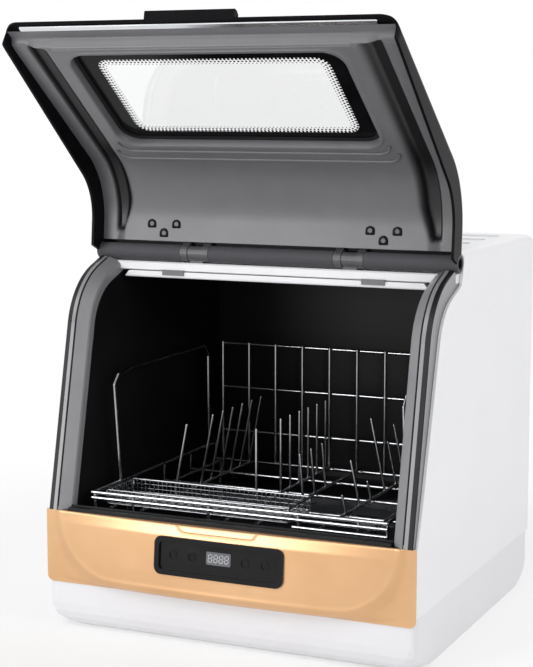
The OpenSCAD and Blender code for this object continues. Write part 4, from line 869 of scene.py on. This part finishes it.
def goldFace(x, z):
    f = goldForm
    side = abs(x)
    out = between(f["bow"], z) * (1 - (x / f["half"]) ** 2)
    edge = f["field"]
    inside = z > edge[0][1] and side < between([(pz, px) for px, pz in edge[1:]], z)
    off = awayFrom(edge, side, z)
    if not inside:
        out -= f["drop"] * smoothStep(0, f["bevel"], off)
    out += f["ridge"] * math.exp(-(off / f["ridgeWide"]) ** 2)
    out -= f["groove"] * math.exp(-(awayFrom(f["tab"], x, z) / f["grooveWide"]) ** 2)
    roundings = (
        (f["topRound"], z - (f["top"] - f["topRound"])),
        (f["lowRound"], f["low"] + f["lowRound"] - z),
        (f["endRound"], side - (f["half"] - f["endRound"])),
    )
    for reach, start in roundings:
        if start > 0:
            out -= reach - math.sqrt(max(0.0, reach * reach - min(start, reach) ** 2))
    return Vector((x, min(max(f["ends"] - out, f["foremost"]), f["least"]), z)) * mm  # never behind the casing's edge


def goldPanel(shape):
    f = goldForm
    rows, columns = stations(f["rows"]), stations(f["columns"])

    def narrow(x, z):  # rounds the lower corners of the outline
        gap = f["cornerCut"] - (z - f["low"])
        limit = f["half"] - (f["cornerCut"] - math.sqrt(max(0.0, f["cornerCut"] ** 2 - gap ** 2)) if gap > 0 else 0)
        return max(-limit, min(limit, x * limit / f["half"]))

    def front(x, z):
        place = goldFace(x, z)
        return Vector((narrow(x, z) * mm, place.y, place.z))

    def kept(x, z):
        return not (abs(x) < f["holeX"] and f["holeLow"] < z < f["holeHigh"])

    faceGrid = addSheet(shape, columns, rows, front, kept)
    rim = [(x, rows[0]) for x in columns] + [(columns[-1], z) for z in rows[1:]]
    rim += [(x, rows[-1]) for x in reversed(columns[:-1])] + [(columns[0], z) for z in reversed(rows[1:-1])]
    edge = [faceGrid[columns.index(x)][rows.index(z)] for x, z in rim]
    rear = [shape.verts.new((vertex.co.x, f["back"] * mm, vertex.co.z)) for vertex in edge]
    joinRings(shape, edge, rear)


goldPiece = addPiece("gold_front", goldPanel, "goldLacquer", "cabinet")
goldPiece.data.set_sharp_from_angle(angle=math.radians(55))
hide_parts("front_panel")


# figures in the display and rings round the keys

digits = {"x": [-9.3, -3.1, 3.1, 9.3], "z": 101.0, "width": 4.0, "height": 7.6, "bar": 0.75, "lean": 0.1,
          "shown": "8888", "out": 0.72, "thick": 0.0001}

segments = {"a": ((0, 1), (1, 1)), "b": ((1, 0.5), (1, 1)), "c": ((1, 0), (1, 0.5)), "d": ((0, 0), (1, 0)),
            "e": ((0, 0), (0, 0.5)), "f": ((0, 0.5), (0, 1)), "g": ((0, 0.5), (1, 0.5))}
segmentsOf = {"0": "abcdef", "1": "bc", "2": "abged", "3": "abgcd", "4": "fgbc", "5": "afgcd", "6": "afgcde",
              "7": "abc", "8": "abcdefg", "9": "abcdfg"}


def displayDigits(shape):
    w, h, t = digits["width"], digits["height"], digits["bar"] / 2
    for cx, figure in zip(digits["x"], digits["shown"]):
        for name in segmentsOf[figure]:
            (ax, az), (bx, bz) = segments[name]
            ax, az, bx, bz = ax * w, az * h, bx * w, bz * h
            if az == bz:  # level bar with pointed ends
                flat = [(ax + t, az), (ax + 2 * t, az + t), (bx - 2 * t, az + t),
                        (bx - t, az), (bx - 2 * t, az - t), (ax + 2 * t, az - t)]
            else:
                flat = [(ax, az + t), (ax + t, az + 2 * t), (ax + t, bz - 2 * t),
                        (ax, bz - t), (ax - t, bz - 2 * t), (ax - t, az + 2 * t)]
            left, low = cx - w / 2, digits["z"] - h / 2
            outline = [panelPoint(left + px + digits["lean"] * (pz - h / 2), low + pz, digits["out"])
                       for px, pz in flat]
            addPrism(shape, outline, (0, -digits["thick"], 0))


addPiece("display_digits", displayDigits, "digitInk", "cabinet", smooth=False)


keyMarks = {"x": [-52, -30, 30, 52], "z": 100.0, "radius": 4.4, "bar": 0.5, "out": 0.62, "sides": 32}


def keySymbols(shape):  # a plain ring round each key
    m = keyMarks
    for cx in m["x"]:
        path = [panelPoint(cx + m["radius"] * math.cos(a), m["z"] + m["radius"] * math.sin(a), m["out"])
                for a in (2 * math.pi * k / m["sides"] for k in range(m["sides"]))]
        addTube(shape, path, m["bar"] * mm / 2, 6, closed=True)


addPiece("key_symbols", keySymbols, "keyRing", "cabinet")


# rounded tips of the tines

tines = {
    "radius": 1.5,
    "length": 83.0,
    "foot": 130.6,
    "rows": [  # across, lean in degrees, (from front to rear, share of the full length)
        (-112, 11, [(-89, 1)] + [(-24 + 26 * i, 1) for i in range(6)]),
        (-12, 0, [(-89, 1)] + [(-24 + 26 * i, 1) for i in range(6)]),
        (24, -5, [(-44 + 32 * i, 0.6) for i in range(3)]),
        (92, -12, [(-88, 0.24), (-48, 0.6), (-14, 0.24), (30, 1), (66, 0.6), (94, 0.78)]),
    ],
}


def tineTips(shape):
    for x, lean, spots in tines["rows"]:
        tilt = math.radians(lean)
        along = Vector((math.sin(tilt), 0, math.cos(tilt)))
        for y, share in spots:
            tip = Vector((x, y, tines["foot"])) + along * (share * tines["length"])
            made = bmesh.ops.create_uvsphere(shape, u_segments=12, v_segments=8, radius=tines["radius"] * mm)
            bmesh.ops.translate(shape, verts=made["verts"], vec=tip * mm)


addPiece("tine_tips", tineTips, "chromeWire", "rack")


# woven cutlery basket: thin wires over and under, held by thicker rims

basket = {"left": -160, "right": 58, "front": -160, "rear": -97, "low": 132.6, "high": 149.6, "pitch": 5.2,
          "wire": 0.42, "rim": 1.25, "lowRim": 0.8, "wave": 0.38, "corner": 4, "hoop": 0.8, "post": 0.9}


def weave(shape, point, across, along):  # two sets of wires; point(u, v, lift) gives the place
    b = basket
    nu, nv = max(2, round(across / b["pitch"])), max(2, round(along / b["pitch"]))
    for i in range(1, nu):
        u = across * i / nu
        path = [point(u, along * k / (2 * nv), b["wave"] * math.sin(math.pi * (k / 2 + i)))
                for k in range(2 * nv + 1)]
        addTube(shape, path, b["wire"] * mm, 5)
    for j in range(1, nv):
        v = along * j / nv
        path = [point(across * k / (2 * nu), v, b["wave"] * math.sin(math.pi * (k / 2 + j + 1)))
                for k in range(2 * nu + 1)]
        addTube(shape, path, b["wire"] * mm, 5)


def basketShape(shape):
    b = basket
    r = b["rim"]
    left, right, front, rear = b["left"] + r, b["right"] - r, b["front"] + r, b["rear"] - r
    low, high = b["low"] + r, b["high"] - r
    width, depth, height = right - left, rear - front, high - low
    weave(shape, lambda u, v, lift: Vector((left + u, front + v, low + lift)) * mm, width, depth)
    weave(shape, lambda u, v, lift: Vector((left + u, front + lift, low + v)) * mm, width, height)
    weave(shape, lambda u, v, lift: Vector((left + u, rear + lift, low + v)) * mm, width, height)
    weave(shape, lambda u, v, lift: Vector((left + lift, front + u, low + v)) * mm, depth, height)
    weave(shape, lambda u, v, lift: Vector((right + lift, front + u, low + v)) * mm, depth, height)
    for z in (low, high):
        loop = roundedPath(left, front, right, rear, b["corner"], 5)
        thick = r if z == high else b["lowRim"] * r
        addTube(shape, [Vector((x, y, z)) * mm for x, y in loop], thick * mm, 8, closed=True)
    for x in (left + width * k / 4 for k in range(1, 4)):  # stiffening hoops under the mesh
        path = [(x, front, high), (x, front, low), (x, rear, low), (x, rear, high)]
        addTube(shape, [Vector(p) * mm for p in path], b["hoop"] * mm, 8)
    for x, y in ((left + 1, front + 1), (right - 1, front + 1), (left + 1, rear - 1), (right - 1, rear - 1)):
        addTube(shape, [Vector((x, y, low)) * mm, Vector((x, y, high)) * mm], b["post"] * mm, 8)


wovenBasket = addPiece("woven_basket", basketShape, "basketWire", "basket")
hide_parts("cutlery_basket")
print("trim pieces built")


# end

print("scene built")
